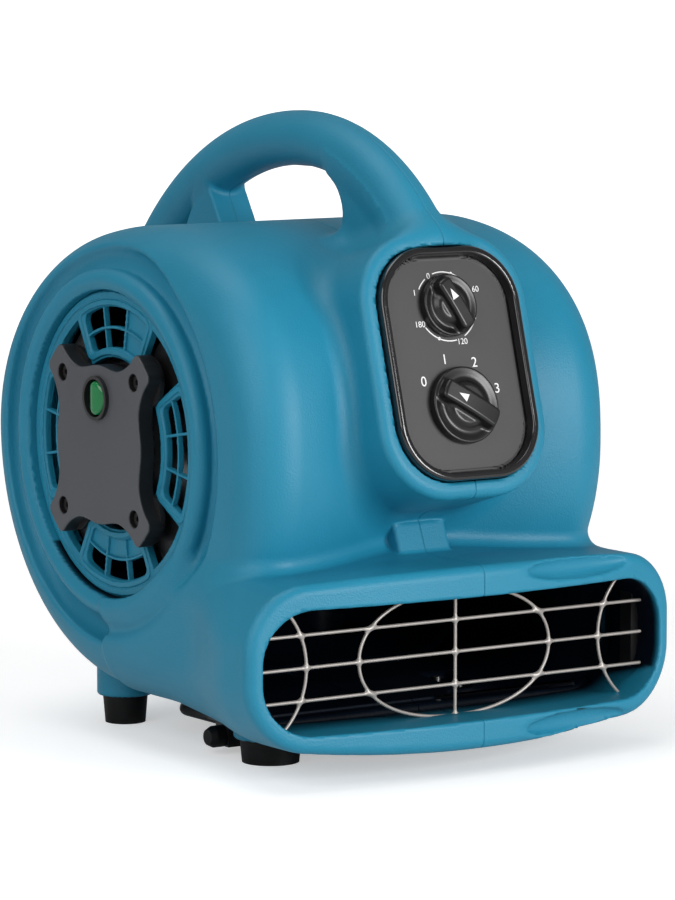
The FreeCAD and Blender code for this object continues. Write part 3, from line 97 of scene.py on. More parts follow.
def super_oval(u, v, reach_u, reach_v, power):
    """A superellipse, close to a true distance near its edge; power 2 is an ellipse and more is squarer."""
    side_u, side_v = np.abs(u) / reach_u + 1e-4, np.abs(v) / reach_v + 1e-4
    near = (side_u ** power + side_v ** power) ** (1 / power)
    slope = near ** (1 - power) * np.hypot(side_u ** (power - 1) / reach_u, side_v ** (power - 1) / reach_v)
    return (near - 1) / np.maximum(slope, 1e-4)


def eased(value):
    """A smooth step from 0 to 1."""
    share = np.clip(value, 0, 1)
    return share * share * (3 - 2 * share)


def arc_rod(u, v, side, radius, first, last):
    """Distance to an arc of a circle about the origin of (u, v); angles run from +v towards +u."""
    angle = np.clip(np.arctan2(u, v), first, last)
    return np.sqrt((u - radius * np.sin(angle)) ** 2 + (v - radius * np.cos(angle)) ** 2 + side ** 2)


# ---------------------------------------------------------------- from a field to a piece
# Grid steps, in millimetres: finer for finer pieces.
HOUSING_STEP, ARMS_STEP, PLATE_STEP, PANEL_STEP = 1.8, 1.0, 0.75, 0.7
GRILLE_STEP, KNOB_STEP, GUARD_STEP, ROCKER_STEP = 0.55, 0.5, 0.5, 0.4
BAND_STEPS = 3          # how many steps deep a grid knows its field
PULL_ROUNDS = 3         # how often points are pulled onto the surface
SEAM_GAP = 0.12         # from the middle plane to the cut edge of each half of the housing
SEAM_LOOP = 1.1         # from the middle plane to the loop beside the cut
SEAM_SINK = 0.35        # how far the cut edge is rounded inward


def slopes(field, points, step):
    """The field's gradient at points, by central differences."""
    gradient = np.empty_like(points)
    for axis in range(3):
        ahead, behind = points.copy(), points.copy()
        ahead[:, axis] += step
        behind[:, axis] -= step
        gradient[:, axis] = (field(*ahead.T) - field(*behind.T)) / (2 * step)
    return gradient


def split_at_seam(mesh, side):
    """Keeps the part of a mesh on one side of the plane x = 0 and caps it.

    A second loop of edges near the cut lets the edge there be rounded.
    """
    half = bmesh.new()
    half.from_mesh(mesh)
    for place, clear in ((SEAM_LOOP * side, False), (SEAM_GAP * side, True)):
        everything = half.verts[:] + half.edges[:] + half.faces[:]
        bmesh.ops.bisect_plane(half, geom=everything, dist=1e-7, plane_co=(place * MM, 0, 0),
                               plane_no=(-side, 0, 0), clear_outer=clear)
    rim = [edge for edge in half.edges if edge.is_boundary]
    bmesh.ops.triangle_fill(half, use_beauty=False, use_dissolve=False, edges=rim, normal=(-side, 0, 0))
    half.to_mesh(mesh)
    half.free()


def field_mesh(name, field, low, high, step, side=0, place=None):
    """The closed surface where field(x, f, h) is zero, in the box from low to high, as a smooth mesh.

    With a side, the mesh is cut at the seam.  place is a matrix for a field that has its own axes.
    """
    low, high = np.array(low, float), np.array(high, float)
    counts = np.ceil((high - low) / step).astype(int) + 1
    axes = [low[axis] + step * np.arange(counts[axis]) for axis in range(3)]
    values = field(*np.meshgrid(*axes, indexing="ij", sparse=True))
    band = BAND_STEPS * step
    grid = openvdb.FloatGrid(band)
    grid.copyFromArray(np.ascontiguousarray(np.clip(values, -band, band), dtype=np.float32))
    points, quads = grid.convertToQuads(0.0)
    points = low + points.astype(float) * step
    for _ in range(PULL_ROUNDS):
        gradient = slopes(field, points, step / 8)
        shift = field(*points.T)[:, None] * gradient / np.maximum((gradient ** 2).sum(1), 0.25)[:, None]
        points -= np.clip(shift, -step / 2, step / 2)
    matrix = place or Matrix(((1, 0, 0, 0), (0, -1, 0, FAN_Y), (0, 0, 1, FAN_Z), (0, 0, 0, 1)))
    turn, origin = np.array(matrix)[:3, :3], np.array(matrix)[:3, 3]
    quads = quads.astype(np.int64)
    corners = (points @ turn.T)[quads]
    facing = np.cross(corners[:, 2] - corners[:, 0], corners[:, 3] - corners[:, 1])
    outward = slopes(field, points, step / 8) @ turn.T
    if (facing * outward[quads[:, 0]]).sum() < 0:
        quads = quads[:, ::-1]
    mesh = bpy.data.meshes.new(name)
    mesh.from_pydata(((points @ turn.T + origin) * MM).tolist(), [], quads.tolist())
    if side:
        split_at_seam(mesh, side)
    places = np.empty(3 * len(mesh.vertices))
    mesh.vertices.foreach_get("co", places)
    places = places.reshape(-1, 3) / MM
    own = (places - origin) @ turn
    normals = slopes(field, own, step / 8) @ turn.T
    normals /= np.maximum(np.linalg.norm(normals, axis=1), 1e-9)[:, None]
    if side:
        edge = np.abs(places[:, 0] - SEAM_GAP * side) < 0.01
        places[edge] -= SEAM_SINK * normals[edge]
        normals[edge] += np.array([-side, 0, 0])
        normals[edge] /= np.linalg.norm(normals[edge], axis=1)[:, None]
        mesh.vertices.foreach_set("co", (places * MM).ravel())
        # Painted shade: how deep each point lies in the unlit inside, for the finish to darken.
        shade = mesh.attributes.new("inside", "FLOAT", "POINT")
        shade.data.foreach_set("value", inner_shade_depth(*own.T))
    mesh.polygons.foreach_set("use_smooth", [True] * len(mesh.polygons))
    mesh.normals_split_custom_set_from_vertices(normals.tolist())
    return mesh


def add_piece(name, mesh, body, material, stands_for=()):
    """Puts a mesh in the scene as a piece of the object."""
    piece = bpy.data.objects.new(name, mesh)
    bpy.context.scene.collection.objects.link(piece)
    mesh.materials.clear()
    mesh.materials.append(material)
    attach(piece, body)
    if stands_for:
        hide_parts(*stands_for)
    return piece


# ---------------------------------------------------------------- materials
def node_group(name, inputs, outputs):
    """An empty shader group with named sockets, and its two end nodes."""
    tree = bpy.data.node_groups.new(name, "ShaderNodeTree")
    for kind, sockets in (("INPUT", inputs), ("OUTPUT", outputs)):
        for label, socket_type, value in sockets:
            socket = tree.interface.new_socket(label, in_out=kind, socket_type=socket_type)
            if value is not None:
                socket.default_value = value
    return tree, tree.nodes.new("NodeGroupInput"), tree.nodes.new("NodeGroupOutput")


def join(tree, source, target):
    tree.links.new(source, target)


def mould_grain():
    """Orange-peel skin of moulded plastic: a height to bump, and a mask of faint colour drift."""
    tree, start, end = node_group(
        "mould grain",
        [("Grain Size", "NodeSocketFloat", 900.0), ("Drift Size", "NodeSocketFloat", 18.0)],
        [("Height", "NodeSocketFloat", None), ("Drift", "NodeSocketFloat", None)])
    place = tree.nodes.new("ShaderNodeTexCoord")
    fine = tree.nodes.new("ShaderNodeTexNoise")
    fine.inputs["Detail"].default_value = 3.0
    join(tree, place.outputs["Object"], fine.inputs["Vector"])
    join(tree, start.outputs["Grain Size"], fine.inputs["Scale"])
    drift = tree.nodes.new("ShaderNodeTexNoise")
    drift.inputs["Detail"].default_value = 2.0
    join(tree, place.outputs["Object"], drift.inputs["Vector"])
    join(tree, start.outputs["Drift Size"], drift.inputs["Scale"])
    join(tree, fine.outputs["Fac"], end.inputs["Height"])
    join(tree, drift.outputs["Fac"], end.inputs["Drift"])
    return tree


def edge_wear():
    """A mask that is 1 on convex edges and 0 on flats, broken up by noise."""
    tree, start, end = node_group(
        "edge wear",
        [("Amount", "NodeSocketFloat", 0.5)],
        [("Mask", "NodeSocketFloat", None)])
    form = tree.nodes.new("ShaderNodeNewGeometry")
    ramp = tree.nodes.new("ShaderNodeMapRange")
    ramp.inputs["From Min"].default_value = 0.52
    ramp.inputs["From Max"].default_value = 0.60
    speck = tree.nodes.new("ShaderNodeTexNoise")
    speck.inputs["Scale"].default_value = 240.0
    worn = tree.nodes.new("ShaderNodeMath")
    worn.operation = "MULTIPLY"
    share = tree.nodes.new("ShaderNodeMath")
    share.operation = "MULTIPLY"
    place = tree.nodes.new("ShaderNodeTexCoord")
    join(tree, place.outputs["Object"], speck.inputs["Vector"])
    join(tree, form.outputs["Pointiness"], ramp.inputs["Value"])
    join(tree, ramp.outputs["Result"], worn.inputs[0])
    join(tree, speck.outputs["Fac"], worn.inputs[1])
    join(tree, worn.outputs["Value"], share.inputs[0])
    join(tree, start.outputs["Amount"], share.inputs[1])
    join(tree, share.outputs["Value"], end.inputs["Mask"])
    return tree


GRAIN, WEAR = mould_grain(), edge_wear()


def finish(name, colour, light, roughness, grain=900.0, depth=0.00006, wear=0.25, metallic=0.0, coat=0.0):
    """A Principled material whose colour drifts towards light and whose skin is grained."""
    material = bpy.data.materials.new(name)
    material.use_nodes = True
    tree = material.node_tree
    shader = tree.nodes["Principled BSDF"]
    shader.inputs["Metallic"].default_value = metallic
    shader.inputs["Coat Weight"].default_value = coat
    shader.inputs["Coat Roughness"].default_value = 0.08
    skin = tree.nodes.new("ShaderNodeGroup")
    skin.node_tree = GRAIN
    skin.inputs["Grain Size"].default_value = grain
    edges = tree.nodes.new("ShaderNodeGroup")
    edges.node_tree = WEAR
    edges.inputs["Amount"].default_value = wear
    mixed = tree.nodes.new("ShaderNodeMix")
    mixed.data_type = "RGBA"
    mixed.inputs["A"].default_value = (*colour, 1)
    mixed.inputs["B"].default_value = (*light, 1)
    sum_mask = tree.nodes.new("ShaderNodeMath")
    sum_mask.operation = "ADD"
    sum_mask.use_clamp = True
    drift = tree.nodes.new("ShaderNodeMapRange")
    drift.inputs["From Min"].default_value = 0.35
    drift.inputs["From Max"].default_value = 0.75
    drift.inputs["To Max"].default_value = 0.35
    join(tree, skin.outputs["Drift"], drift.inputs["Value"])
    join(tree, drift.outputs["Result"], sum_mask.inputs[0])
    join(tree, edges.outputs["Mask"], sum_mask.inputs[1])
    join(tree, sum_mask.outputs["Value"], mixed.inputs["Factor"])
    join(tree, mixed.outputs["Result"], shader.inputs["Base Color"])
    dull = tree.nodes.new("ShaderNodeMapRange")
    dull.inputs["To Min"].default_value = roughness - 0.05
    dull.inputs["To Max"].default_value = roughness + 0.07
    join(tree, skin.outputs["Drift"], dull.inputs["Value"])
    join(tree, dull.outputs["Result"], shader.inputs["Roughness"])
    bump = tree.nodes.new("ShaderNodeBump")
    bump.inputs["Distance"].default_value = depth
    join(tree, skin.outputs["Height"], bump.inputs["Height"])
    join(tree, bump.outputs["Normal"], shader.inputs["Normal"])
    return material


teal = finish("teal moulding", (0.010, 0.190, 0.305), (0.022, 0.230, 0.360), 0.46, 1100.0, 0.00018)


def paint_inner_shade(material, dark):
    """Paints shade into a finish: it turns dark where the mesh says that it is an unlit inner wall."""
    tree = material.node_tree
    shader = tree.nodes["Principled BSDF"]
    lit = shader.inputs["Base Color"].links[0].from_socket
    depth = tree.nodes.new("ShaderNodeAttribute")
    depth.attribute_name = "inside"
    mixed = tree.nodes.new("ShaderNodeMix")
    mixed.data_type = "RGBA"
    mixed.inputs["B"].default_value = (*dark, 1)
    join(tree, depth.outputs["Fac"], mixed.inputs["Factor"])
    join(tree, lit, mixed.inputs["A"])
    join(tree, mixed.outputs["Result"], shader.inputs["Base Color"])
    shine = tree.nodes.new("ShaderNodeMapRange")
    shine.inputs["To Min"].default_value = 0.34
    shine.inputs["To Max"].default_value = 0.08
    join(tree, depth.outputs["Fac"], shine.inputs["Value"])
    join(tree, shine.outputs["Result"], shader.inputs["Specular IOR Level"])


# Painted shade: the housing's unlit inner walls turn near black.
paint_inner_shade(teal, (0.0015, 0.004, 0.009))


def paint_flank_shade(material, dark):
    """Keeps a finish on faces that look along X, and paints shade on the flanks, which turn dark."""
    tree = material.node_tree
    shader = tree.nodes["Principled BSDF"]
    face = shader.inputs["Base Color"].links[0].from_socket
    form = tree.nodes.new("ShaderNodeNewGeometry")
    parts = tree.nodes.new("ShaderNodeSeparateXYZ")
    facing = tree.nodes.new("ShaderNodeMapRange")
    facing.inputs["From Min"].default_value = -0.75
    facing.inputs["From Max"].default_value = -0.35
    mixed = tree.nodes.new("ShaderNodeMix")
    mixed.data_type = "RGBA"
    mixed.inputs["B"].default_value = (*dark, 1)
    join(tree, form.outputs["True Normal"], parts.inputs["Vector"])
    join(tree, parts.outputs["X"], facing.inputs["Value"])
    join(tree, facing.outputs["Result"], mixed.inputs["Factor"])
    join(tree, face, mixed.inputs["A"])
    join(tree, mixed.outputs["Result"], shader.inputs["Base Color"])


plate_grey = finish("charcoal plate", (0.062, 0.066, 0.076), (0.085, 0.09, 0.1), 0.5, 1500.0, 0.00008)
# Painted shade: the plate's flanks, which face away from the light, turn near black.
paint_flank_shade(plate_grey, (0.004, 0.004, 0.005))
bracket_black = finish("black bracket paint", (0.006, 0.006, 0.007), (0.02, 0.02, 0.02), 0.38, 1400.0,
                       0.00005)
knob_black = finish("satin black", (0.0035, 0.0035, 0.004), (0.008, 0.008, 0.009), 0.3, 500.0, 0.00001, 0.1)
gloss_black = finish("polished black", (0.004, 0.004, 0.005), (0.008, 0.008, 0.009), 0.14, 500.0, 0.00001,
                     wear=0.1, coat=0.5)
panel_grey = finish("satin panel", (0.034, 0.033, 0.035), (0.042, 0.041, 0.043), 0.45, 2200.0, 0.00002)
switch_black = finish("black switch moulding", (0.009, 0.009, 0.01), (0.02, 0.02, 0.022), 0.35)
rocker_green = finish("green rocker", (0.001, 0.17, 0.045), (0.004, 0.3, 0.09), 0.22, 300.0, 0.00001,
                      wear=0.4, coat=0.15)
guard_grey = finish("coated guard wire", (0.33, 0.305, 0.285), (0.5, 0.47, 0.44), 0.38, 1500.0, 0.00002,
                    wear=0.4, metallic=0.35)
foot_rubber = finish("foot rubber", (0.003, 0.003, 0.003), (0.008, 0.008, 0.008), 0.5, 1200.0, 0.0001)
foot_rubber.node_tree.nodes["Principled BSDF"].inputs["Specular IOR Level"].default_value = 0.2
wheel_black = finish("fan wheel plastic", (0.008, 0.008, 0.009), (0.014, 0.014, 0.015), 0.45)
screw_steel = finish("zinc screw", (0.42, 0.42, 0.43), (0.6, 0.6, 0.6), 0.3, 1800.0, 0.00002,
                     wear=0.5, metallic=1.0)
motor_iron = finish("motor iron", (0.07, 0.07, 0.075), (0.13, 0.13, 0.13), 0.4, 900.0, 0.00006,
                    wear=0.5, metallic=0.8)
coil_copper = finish("coil copper", (0.45, 0.17, 0.07), (0.6, 0.26, 0.12), 0.35, 700.0, 0.0001,
                     wear=0.3, metallic=0.9)
print_white = finish("white print", (0.78, 0.78, 0.78), (0.86, 0.86, 0.86), 0.5, 2500.0, 0.00001, wear=0.0)


# ---------------------------------------------------------------- the housing
HALF_WIDTH = 109.0
BARREL_RIM = 27.0
FRONT_REACH, REAR_REACH, LOW_REACH = 141.0, 126.0, 127.0
REAR_TOP, TOP_RISE = 107.5, 3.0
DISH_DEPTH, DISH_HALF_WIDTH = 25.0, 52.0
INLET_RADIUS = 77.7
VALLEY_OUT, VALLEY_RADIUS = 16.0, 7.5
BEAD_OUT, BEAD_RADIUS = 5.2, 5.4
WALL = 3.0
LIP_HALF_WIDTH, LIP_FRONT, LIP_BOW = 127.5, 173.0, 15.5
MOUTH_LOW, MOUTH_HIGH, MOUTH_HALF_WIDTH, MOUTH_CORNER = -126.0, -65.2, 119.5, 26.0
MOUTH_BACK = 112.0
slope = Vector(joints["timer_turn"]["axis"])
TILT = math.atan2(-slope.z, slope.y)
PANEL_F, PANEL_H = 150.5, 47.1
BOSS_HALF_WIDTH, BOSS_HALF_HEIGHT, BOSS_CORNER = 49.5, 66.0, 36.0
HANDLE_RADIUS = 14.0
ARCH_F, FRONT_ARC_H, REAR_ARC_H = 18.0, 19.5, -29.5
FRONT_ARC, REAR_ARC, TAIL_ARC = 132.0, 181.0, 24.0
TAIL_F, TAIL_H = -101.6, 72.3
FRONT_SWEEP, REAR_SWEEP, TAIL_SWEEP = (math.radians(degrees) for degrees in (52.0, 49.6, 154.6))
WEB_HALF_WIDTH, WEB_NEAR, WEB_FAR = 12.0, 61.0, 112.0
PEDESTAL_F, PEDESTAL_HALF_WIDTH = -62.0, 11.5
BLOCK_HALF_WIDTH, BLOCK_EDGE = 15.5, 1.8
LEAF_HEIGHTS, LEAF_MIDDLE, LEAF_HALF_LENGTH = (-55.5, -133.5), 61.0, 34.0
TOWER_RADIUS, WELL_RADIUS, WELL_FLOOR = 6.0, 3.9, 14.0
INNER_LOW = 60.0        # how high the handle's feet start, well inside the drum


def barrel(x, f, h):
    """The drum: four quarters, dished at the front under the panel, with broad round rims and beads."""
    front = FRONT_REACH - DISH_DEPTH * np.exp(-(x / DISH_HALF_WIDTH) ** 2)
    reach_f = np.where(f > 0, front, REAR_REACH)
    reach_h = np.where(h > 0, REAR_TOP + TOP_RISE * eased((f + 30.0) / 60.0), LOW_REACH)
    power = np.where((f > 0) & (h > 0), 2.5, 2.0)
    ring, side = np.hypot(f, h) - INLET_RADIUS, np.abs(x) - HALF_WIDTH
    drum = rounded(super_oval(f, h, reach_f, reach_h, power), side, BARREL_RIM)
    valley = np.hypot(ring - VALLEY_OUT, side + 2.0) - VALLEY_RADIUS
    bead = np.hypot(ring - BEAD_OUT, side + 3.4) - BEAD_RADIUS
    return blend(-blend(-drum, valley, 3.0), bead, 1.2)


def lip_front(x):
    """How far forward the bowed lip reaches."""
    return LIP_FRONT - LIP_BOW * (x / LIP_HALF_WIDTH) ** 2


def past_front(x, f):
    return (f - lip_front(x)) / np.sqrt(1 + (2 * LIP_BOW * x / LIP_HALF_WIDTH ** 2) ** 2)


def nozzle(x, f, h):
    """The flattened duct that leaves the drum low down and flares to the lip."""
    drop = np.clip((f - 5.0) / 73.0, 0, 1)
    flare = eased((f - 72.0) / 66.0)
    bow = flare * (x / 90.0) ** 2
    half = 108.0 + 2.0 * np.clip(f / 78.0, 0, 1) + 17.5 * flare
    top = -30.0 - 12.0 * drop - 8.0 * flare - 2.5 * bow
    floor = -126.5 - 7.5 * drop - 6.5 * flare + 5.0 * bow
    section = plate_outline(x, h - (top + floor) / 2, half, (top - floor) / 2, 30.0) * 0.97
    return np.maximum(rounded(section, past_front(x, f), 5.0), -f)


def mouth(x, f, h):
    """The clear opening through the lip."""
    middle, half = (MOUTH_HIGH + MOUTH_LOW) / 2, (MOUTH_HIGH - MOUTH_LOW) / 2
    outline = plate_outline(x, h - middle, MOUTH_HALF_WIDTH, half, MOUTH_CORNER)
    return np.maximum(outline, MOUTH_BACK - f)


def on_panel(f, h):
    """Distances up the panel's slope and out of its face."""
    ahead, above = f - PANEL_F, h - PANEL_H
    up = above * math.cos(TILT) - ahead * math.sin(TILT)
    out = ahead * math.cos(TILT) + above * math.sin(TILT)
    return up, out


def boss(x, f, h):
    """The raised frame that carries the control panel."""
    up, out = on_panel(f, h)
    section = plate_outline(x, up, BOSS_HALF_WIDTH, BOSS_HALF_HEIGHT, BOSS_CORNER)
    return np.maximum(rounded(section, out + 1.5, 5.0), -80.0 - out)


def handle(x, f, h):
    """The arched carrying handle; a web under its front leg runs down to the panel's frame."""
    front = arc_rod(f - ARCH_F, h - FRONT_ARC_H, x, FRONT_ARC, 0.0, FRONT_SWEEP)
    rear = arc_rod(ARCH_F - f, h - REAR_ARC_H, x, REAR_ARC, 0.0, REAR_SWEEP)
    tail = arc_rod(TAIL_F - f, h - TAIL_H, x, TAIL_ARC, REAR_SWEEP, TAIL_SWEEP)
    arch = np.minimum(np.minimum(front, rear), tail) - HANDLE_RADIUS
    near_edge = WEB_NEAR - 12.0 * np.clip((h - 115.0) / 20.0, 0, 1) ** 2 - f
    under_arch = np.hypot(f - ARCH_F, h - FRONT_ARC_H) - FRONT_ARC + 2.0
    web = np.maximum(rounded(np.abs(x) - WEB_HALF_WIDTH, near_edge, 10.0), under_arch)
    return fillet(arch, np.maximum(web, np.maximum(f - WEB_FAR, INNER_LOW - h)), 5.0)


def pedestal(x, f, h):
    """The buttress under the rear of the handle: a wedge that spreads forward and back as it goes down."""
    fall = np.clip(128.0 - h, 0, 60)
    flank = (np.abs(f - PEDESTAL_F) - 2.0 - 0.62 * fall) * 0.85
    sides = rounded(np.abs(x) - PEDESTAL_HALF_WIDTH, flank, 1.5)
    return np.maximum(sides, np.maximum(h - 134.0, INNER_LOW - h))


def seam_block(x, f, h):
    """The square block on the seam above the nozzle, with a leaning face and a sloping top."""
    face = (f - 118.6 + (h + 37.0) * 0.42) * 0.9
    top = h + 34.0 - 0.12 * (f - 114.0)
    block = rounded(rounded(np.abs(x) - BLOCK_HALF_WIDTH, face, BLOCK_EDGE), top, BLOCK_EDGE)
    return np.maximum(block, np.maximum(-62.0 - h, 60.0 - f))


def foot_bosses(x, f, h):
    """Round bosses over the feet and square ones over the stand's brackets."""
    low = -FAN_Z
    bosses = []
    for name, reach in (("front_left_foot", 24.0), ("rear_left_foot", 34.0)):
        least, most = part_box(name)
        middle_x, middle_y = ((least + most) / 2).xy / MM
        radius = (most.x - least.x) / 2 / MM + 3.0
        around = np.hypot(np.abs(x) + middle_x, f - FAN_Y + middle_y) - radius
        bosses.append(np.maximum(rounded(around, low + most.z / MM - h, 1.5), h - low - most.z / MM - reach))
    least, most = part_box("left_stand_bracket")
    middle_x, middle_y = ((least + most) / 2).xy / MM
    half_x, half_y = (most.x - least.x) / 2 / MM + 1, (most.y - least.y) / 2 / MM + 1
    block = np.maximum(np.abs(np.abs(x) + middle_x) - half_x, np.abs(f - FAN_Y + middle_y) - half_y)
    bosses.append(np.maximum(block, np.maximum(low + most.z / MM - h, h - low - most.z / MM - 16.0)))
    return np.minimum(np.minimum(bosses[0], bosses[1]), bosses[2])


def loose_middles(node):
    """The middle of each separate solid in a CAD node."""
    source = bmesh.new()
    source.from_mesh(frame["nodes"][node].data)
    bmesh.ops.remove_doubles(source, verts=source.verts, dist=1e-6)
    unseen = set(source.verts)
    middles = []
    while unseen:
        group, queue = [], [unseen.pop()]
        while queue:
            vertex = queue.pop()
            group.append(vertex.co.copy())
            for edge in vertex.link_edges:
                other = edge.other_vert(vertex)
                if other in unseen:
                    unseen.remove(other)
                    queue.append(other)
        lows = Vector(min(place[axis] for place in group) for axis in range(3))
        highs = Vector(max(place[axis] for place in group) for axis in range(3))
        middles.append((lows + highs) / 2)
    source.free()
    return middles


TOWERS = [(FAN_Y - middle.y / MM, middle.z / MM - FAN_Z) for middle in loose_middles("housing_screws")]


def skin(x, f, h):
    """The outer surface of the whole housing."""
    body = fillet(barrel(x, f, h), nozzle(x, f, h), 8.0)
    body = fillet(body, boss(x, f, h), 12.0)
    body = fillet(body, seam_block(x, f, h), 1.2)
    body = fillet(body, handle(x, f, h), 14.0)
    body = fillet(body, pedestal(x, f, h), 3.0)
    return fillet(body, foot_bosses(x, f, h), 3.0)


def dimples(x, f, h):
    """Long leaf-shaped hollows in the right half of the lip, above and below the mouth."""
    leaves = []
    for height in LEAF_HEIGHTS:
        along = (x - LEAF_MIDDLE) / LEAF_HALF_LENGTH
        out, across = past_front(x, f) / 6.5, (h - height) / 6.0
        leaves.append((np.sqrt(along ** 2 + out ** 2 + across ** 2) - 1) * 4.0)
    return np.minimum(leaves[0], leaves[1])


def housing(x, f, h):
    """The housing's shell with its hollows, seats and screw wells."""
    outer = skin(x, f, h)
    axle = np.hypot(f, h)
    side = np.abs(x) - HALF_WIDTH
    collar = np.maximum(axle - INLET_RADIUS - 4.0, -15.0 - side)
    cavity = np.maximum(np.maximum(outer + WALL, past_front(x, f) + 40.0), -collar)
    shell = np.maximum(outer, -cavity)
    for tower_f, tower_h in TOWERS:
        around = np.hypot(f - tower_f, h - tower_h)
        shell = np.minimum(shell, np.maximum(around - TOWER_RADIUS, outer))
        shell = np.maximum(shell, -np.maximum(around - WELL_RADIUS, WELL_FLOOR - x))
    shell = carve(shell, mouth(x, f, h), 1.2)
    seat = np.maximum(axle - INLET_RADIUS, -9.0 - side)
    shell = carve(shell, np.minimum(seat, axle - INLET_RADIUS + 4.5 + 0 * side), 0.8)
    up, out = on_panel(f, h)
    recess = np.maximum(plate_outline(x, up, 41.6, 58.1, 29.3), -5.0 - out)
    window = np.maximum(plate_outline(x, up, 34.5, 51.0, 22.2), -12.0 - out)
    shell = carve(shell, np.minimum(recess, window), 0.8)
    return carve(shell, dimples(x, f, h), 1.0)


def inner_shade_depth(x, f, h):
    """Painted shade: from 0 on the outer surface to 1 on the unlit inner walls; the nozzle's lit floor stays
    bright further in.
    """
    depth = -past_front(x, f)
    floor = np.clip((-112.0 - h) / 8.0, 0, 1)
    behind = np.clip((depth - 1.0 - 15.0 * floor) / (3.5 + 18.0 * floor), 0, 1)
    under_skin = np.clip((-skin(x, f, h) - 1.2) / 1.2, 0, 1) * np.clip(dimples(x, f, h), 0, 1)
    off_inlet = np.clip((84.0 - np.abs(x)) / 6.0, 0, 1)
    return under_skin * np.where(h < -55.0, behind, off_inlet)


REAR_END, FRONT_END, LOW_END, HIGH_END = -144, 179, -147, 173
for label, side in (("left_housing", -1), ("right_housing", 1)):
    margin = 3 * HOUSING_STEP
    near, far = (-LIP_HALF_WIDTH - margin, margin) if side < 0 else (-margin, LIP_HALF_WIDTH + margin)
    low_corner, high_corner = (near, REAR_END, LOW_END), (far, FRONT_END, HIGH_END)
    shell_mesh = field_mesh(label + "_shell", housing, low_corner, high_corner, HOUSING_STEP, side)
    add_piece(label + "_shell", shell_mesh, "root", teal, (label,))


# ---------------------------------------------------------------- inlet grille and the plate on it
GRILLE_FACE = -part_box("left_inlet_grille")[0].x / MM
GRILLE_REACH = 77.3
RIB_RADIUS, RIB_ANGLE = 58.5, 9.5


def inlet_grille(x, f, h):
    """The left inlet's disc: four framed windows crossed by thin ribs, with open gaps on the diagonals."""
    radius, depth = np.hypot(f, h), -x - GRILLE_FACE
    turned = np.degrees(np.arctan2(f, h))
    quarter = (turned + 45.0) % 90.0 - 45.0
    bow = radius * np.sin(np.radians(quarter))
    reach = radius * np.cos(np.radians(quarter))
    slab = np.maximum(depth, -4.0 - depth)
    disc = np.maximum(radius - GRILLE_REACH, 69.5 - radius)

    def framed(inner, outer, half_angle, corner):
        """A rounded sector on each quarter axis."""
        edge = math.radians(half_angle)
        flank = np.abs(bow) * math.cos(edge) - reach * math.sin(edge)
        return rounded(rounded(inner - radius, radius - outer, corner), flank, corner)

    block = framed(inner=43.5, outer=74.0, half_angle=31.0, corner=3.0)
    pane = framed(inner=48.5, outer=69.0, half_angle=26.0, corner=4.0)
    frame_rim = np.maximum(np.abs(framed(46.2, 71.2, 28.5, 4.0)) - 1.3, np.abs(depth) - 1.1)
    body = np.maximum(np.minimum(disc, block), slab)
    body = blend(carve(body, np.maximum(pane, -9.0 - depth), 0.7), frame_rim, 1.4)
    top, bottom = np.abs(turned) < 45, np.abs(turned) > 135
    blank = np.where(top, RIB_ANGLE - quarter, 90.0)
    blank = np.minimum(blank, np.where(bottom, radius - RIB_RADIUS, 90.0))
    sheet = np.maximum(np.maximum(pane - 0.8, np.maximum(blank, np.abs(depth + 2.6) - 0.7)), 47.0 - radius)
    spokes = np.abs(np.abs(bow) - reach * math.tan(math.radians(RIB_ANGLE)))
    ribs = np.minimum(np.abs(radius - RIB_RADIUS), spokes)
    ribs = np.maximum(np.maximum(ribs - 0.75, np.abs(depth + 1.9) - 1.5), pane - 0.8)
    rim = np.maximum(np.abs(radius - 75.0) - 1.4, np.abs(depth) - 1.0)
    return np.minimum(np.minimum(blend(body, rim, 1.5), ribs), sheet)


grille_mesh = field_mesh("left_inlet_grille_disc", inlet_grille, (-GRILLE_FACE - 3, -79, -79),
                         (-GRILLE_FACE + 6, 79, 79), GRILLE_STEP)
add_piece("left_inlet_grille_disc", grille_mesh, "root", teal, ("left_inlet_grille",))

plate_low, plate_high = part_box("switch_plate")
PLATE_FACE, PLATE_BACK = -plate_low.x / MM, -plate_high.x / MM
ROCKER_UP = joints["rocker_tilt"]["pos_m"][2] / MM - FAN_Z
ROCKER_DEPTH = -joints["rocker_tilt"]["pos_m"][0] / MM
HOLE_HALF_PITCH = 34.0


def diagonal_arms(f, h, reach, half_width, corner):
    along, across = (np.abs(f) + np.abs(h)) / math.sqrt(2), (np.abs(f) - np.abs(h)) / math.sqrt(2)
    return plate_outline(along, across, reach, half_width, corner)


def switch_plate(x, f, h):
    """The four-armed plate that carries the rocker."""
    bulge = 38.0 + 2.3 * np.exp(-(np.minimum(np.abs(f), np.abs(h)) / 11.0) ** 2)
    square = np.maximum(np.abs(f), np.abs(h)) - bulge
    outline = fillet(square, diagonal_arms(f, h, 61.0, 9.0, 4.0), 7.0)
    body = np.maximum(rounded(outline, -x - PLATE_FACE, 1.3), x + PLATE_BACK - 1.0)
    hole = np.hypot(np.abs(f) - HOLE_HALF_PITCH, np.abs(h) - HOLE_HALF_PITCH) - 4.35
    body = carve(body, np.maximum(hole, x + PLATE_FACE - 7.0), 0.6)
    return carve(body, np.hypot(f, h - ROCKER_UP) - 10.3 + 0 * x, 0.5)


plate_mesh = field_mesh("switch_plate_face", switch_plate, (-PLATE_FACE - 2, -57, -57),
                        (-PLATE_BACK + 3, 57, 57), PLATE_STEP)
add_piece("switch_plate_face", plate_mesh, "root", plate_grey, ("switch_plate",))


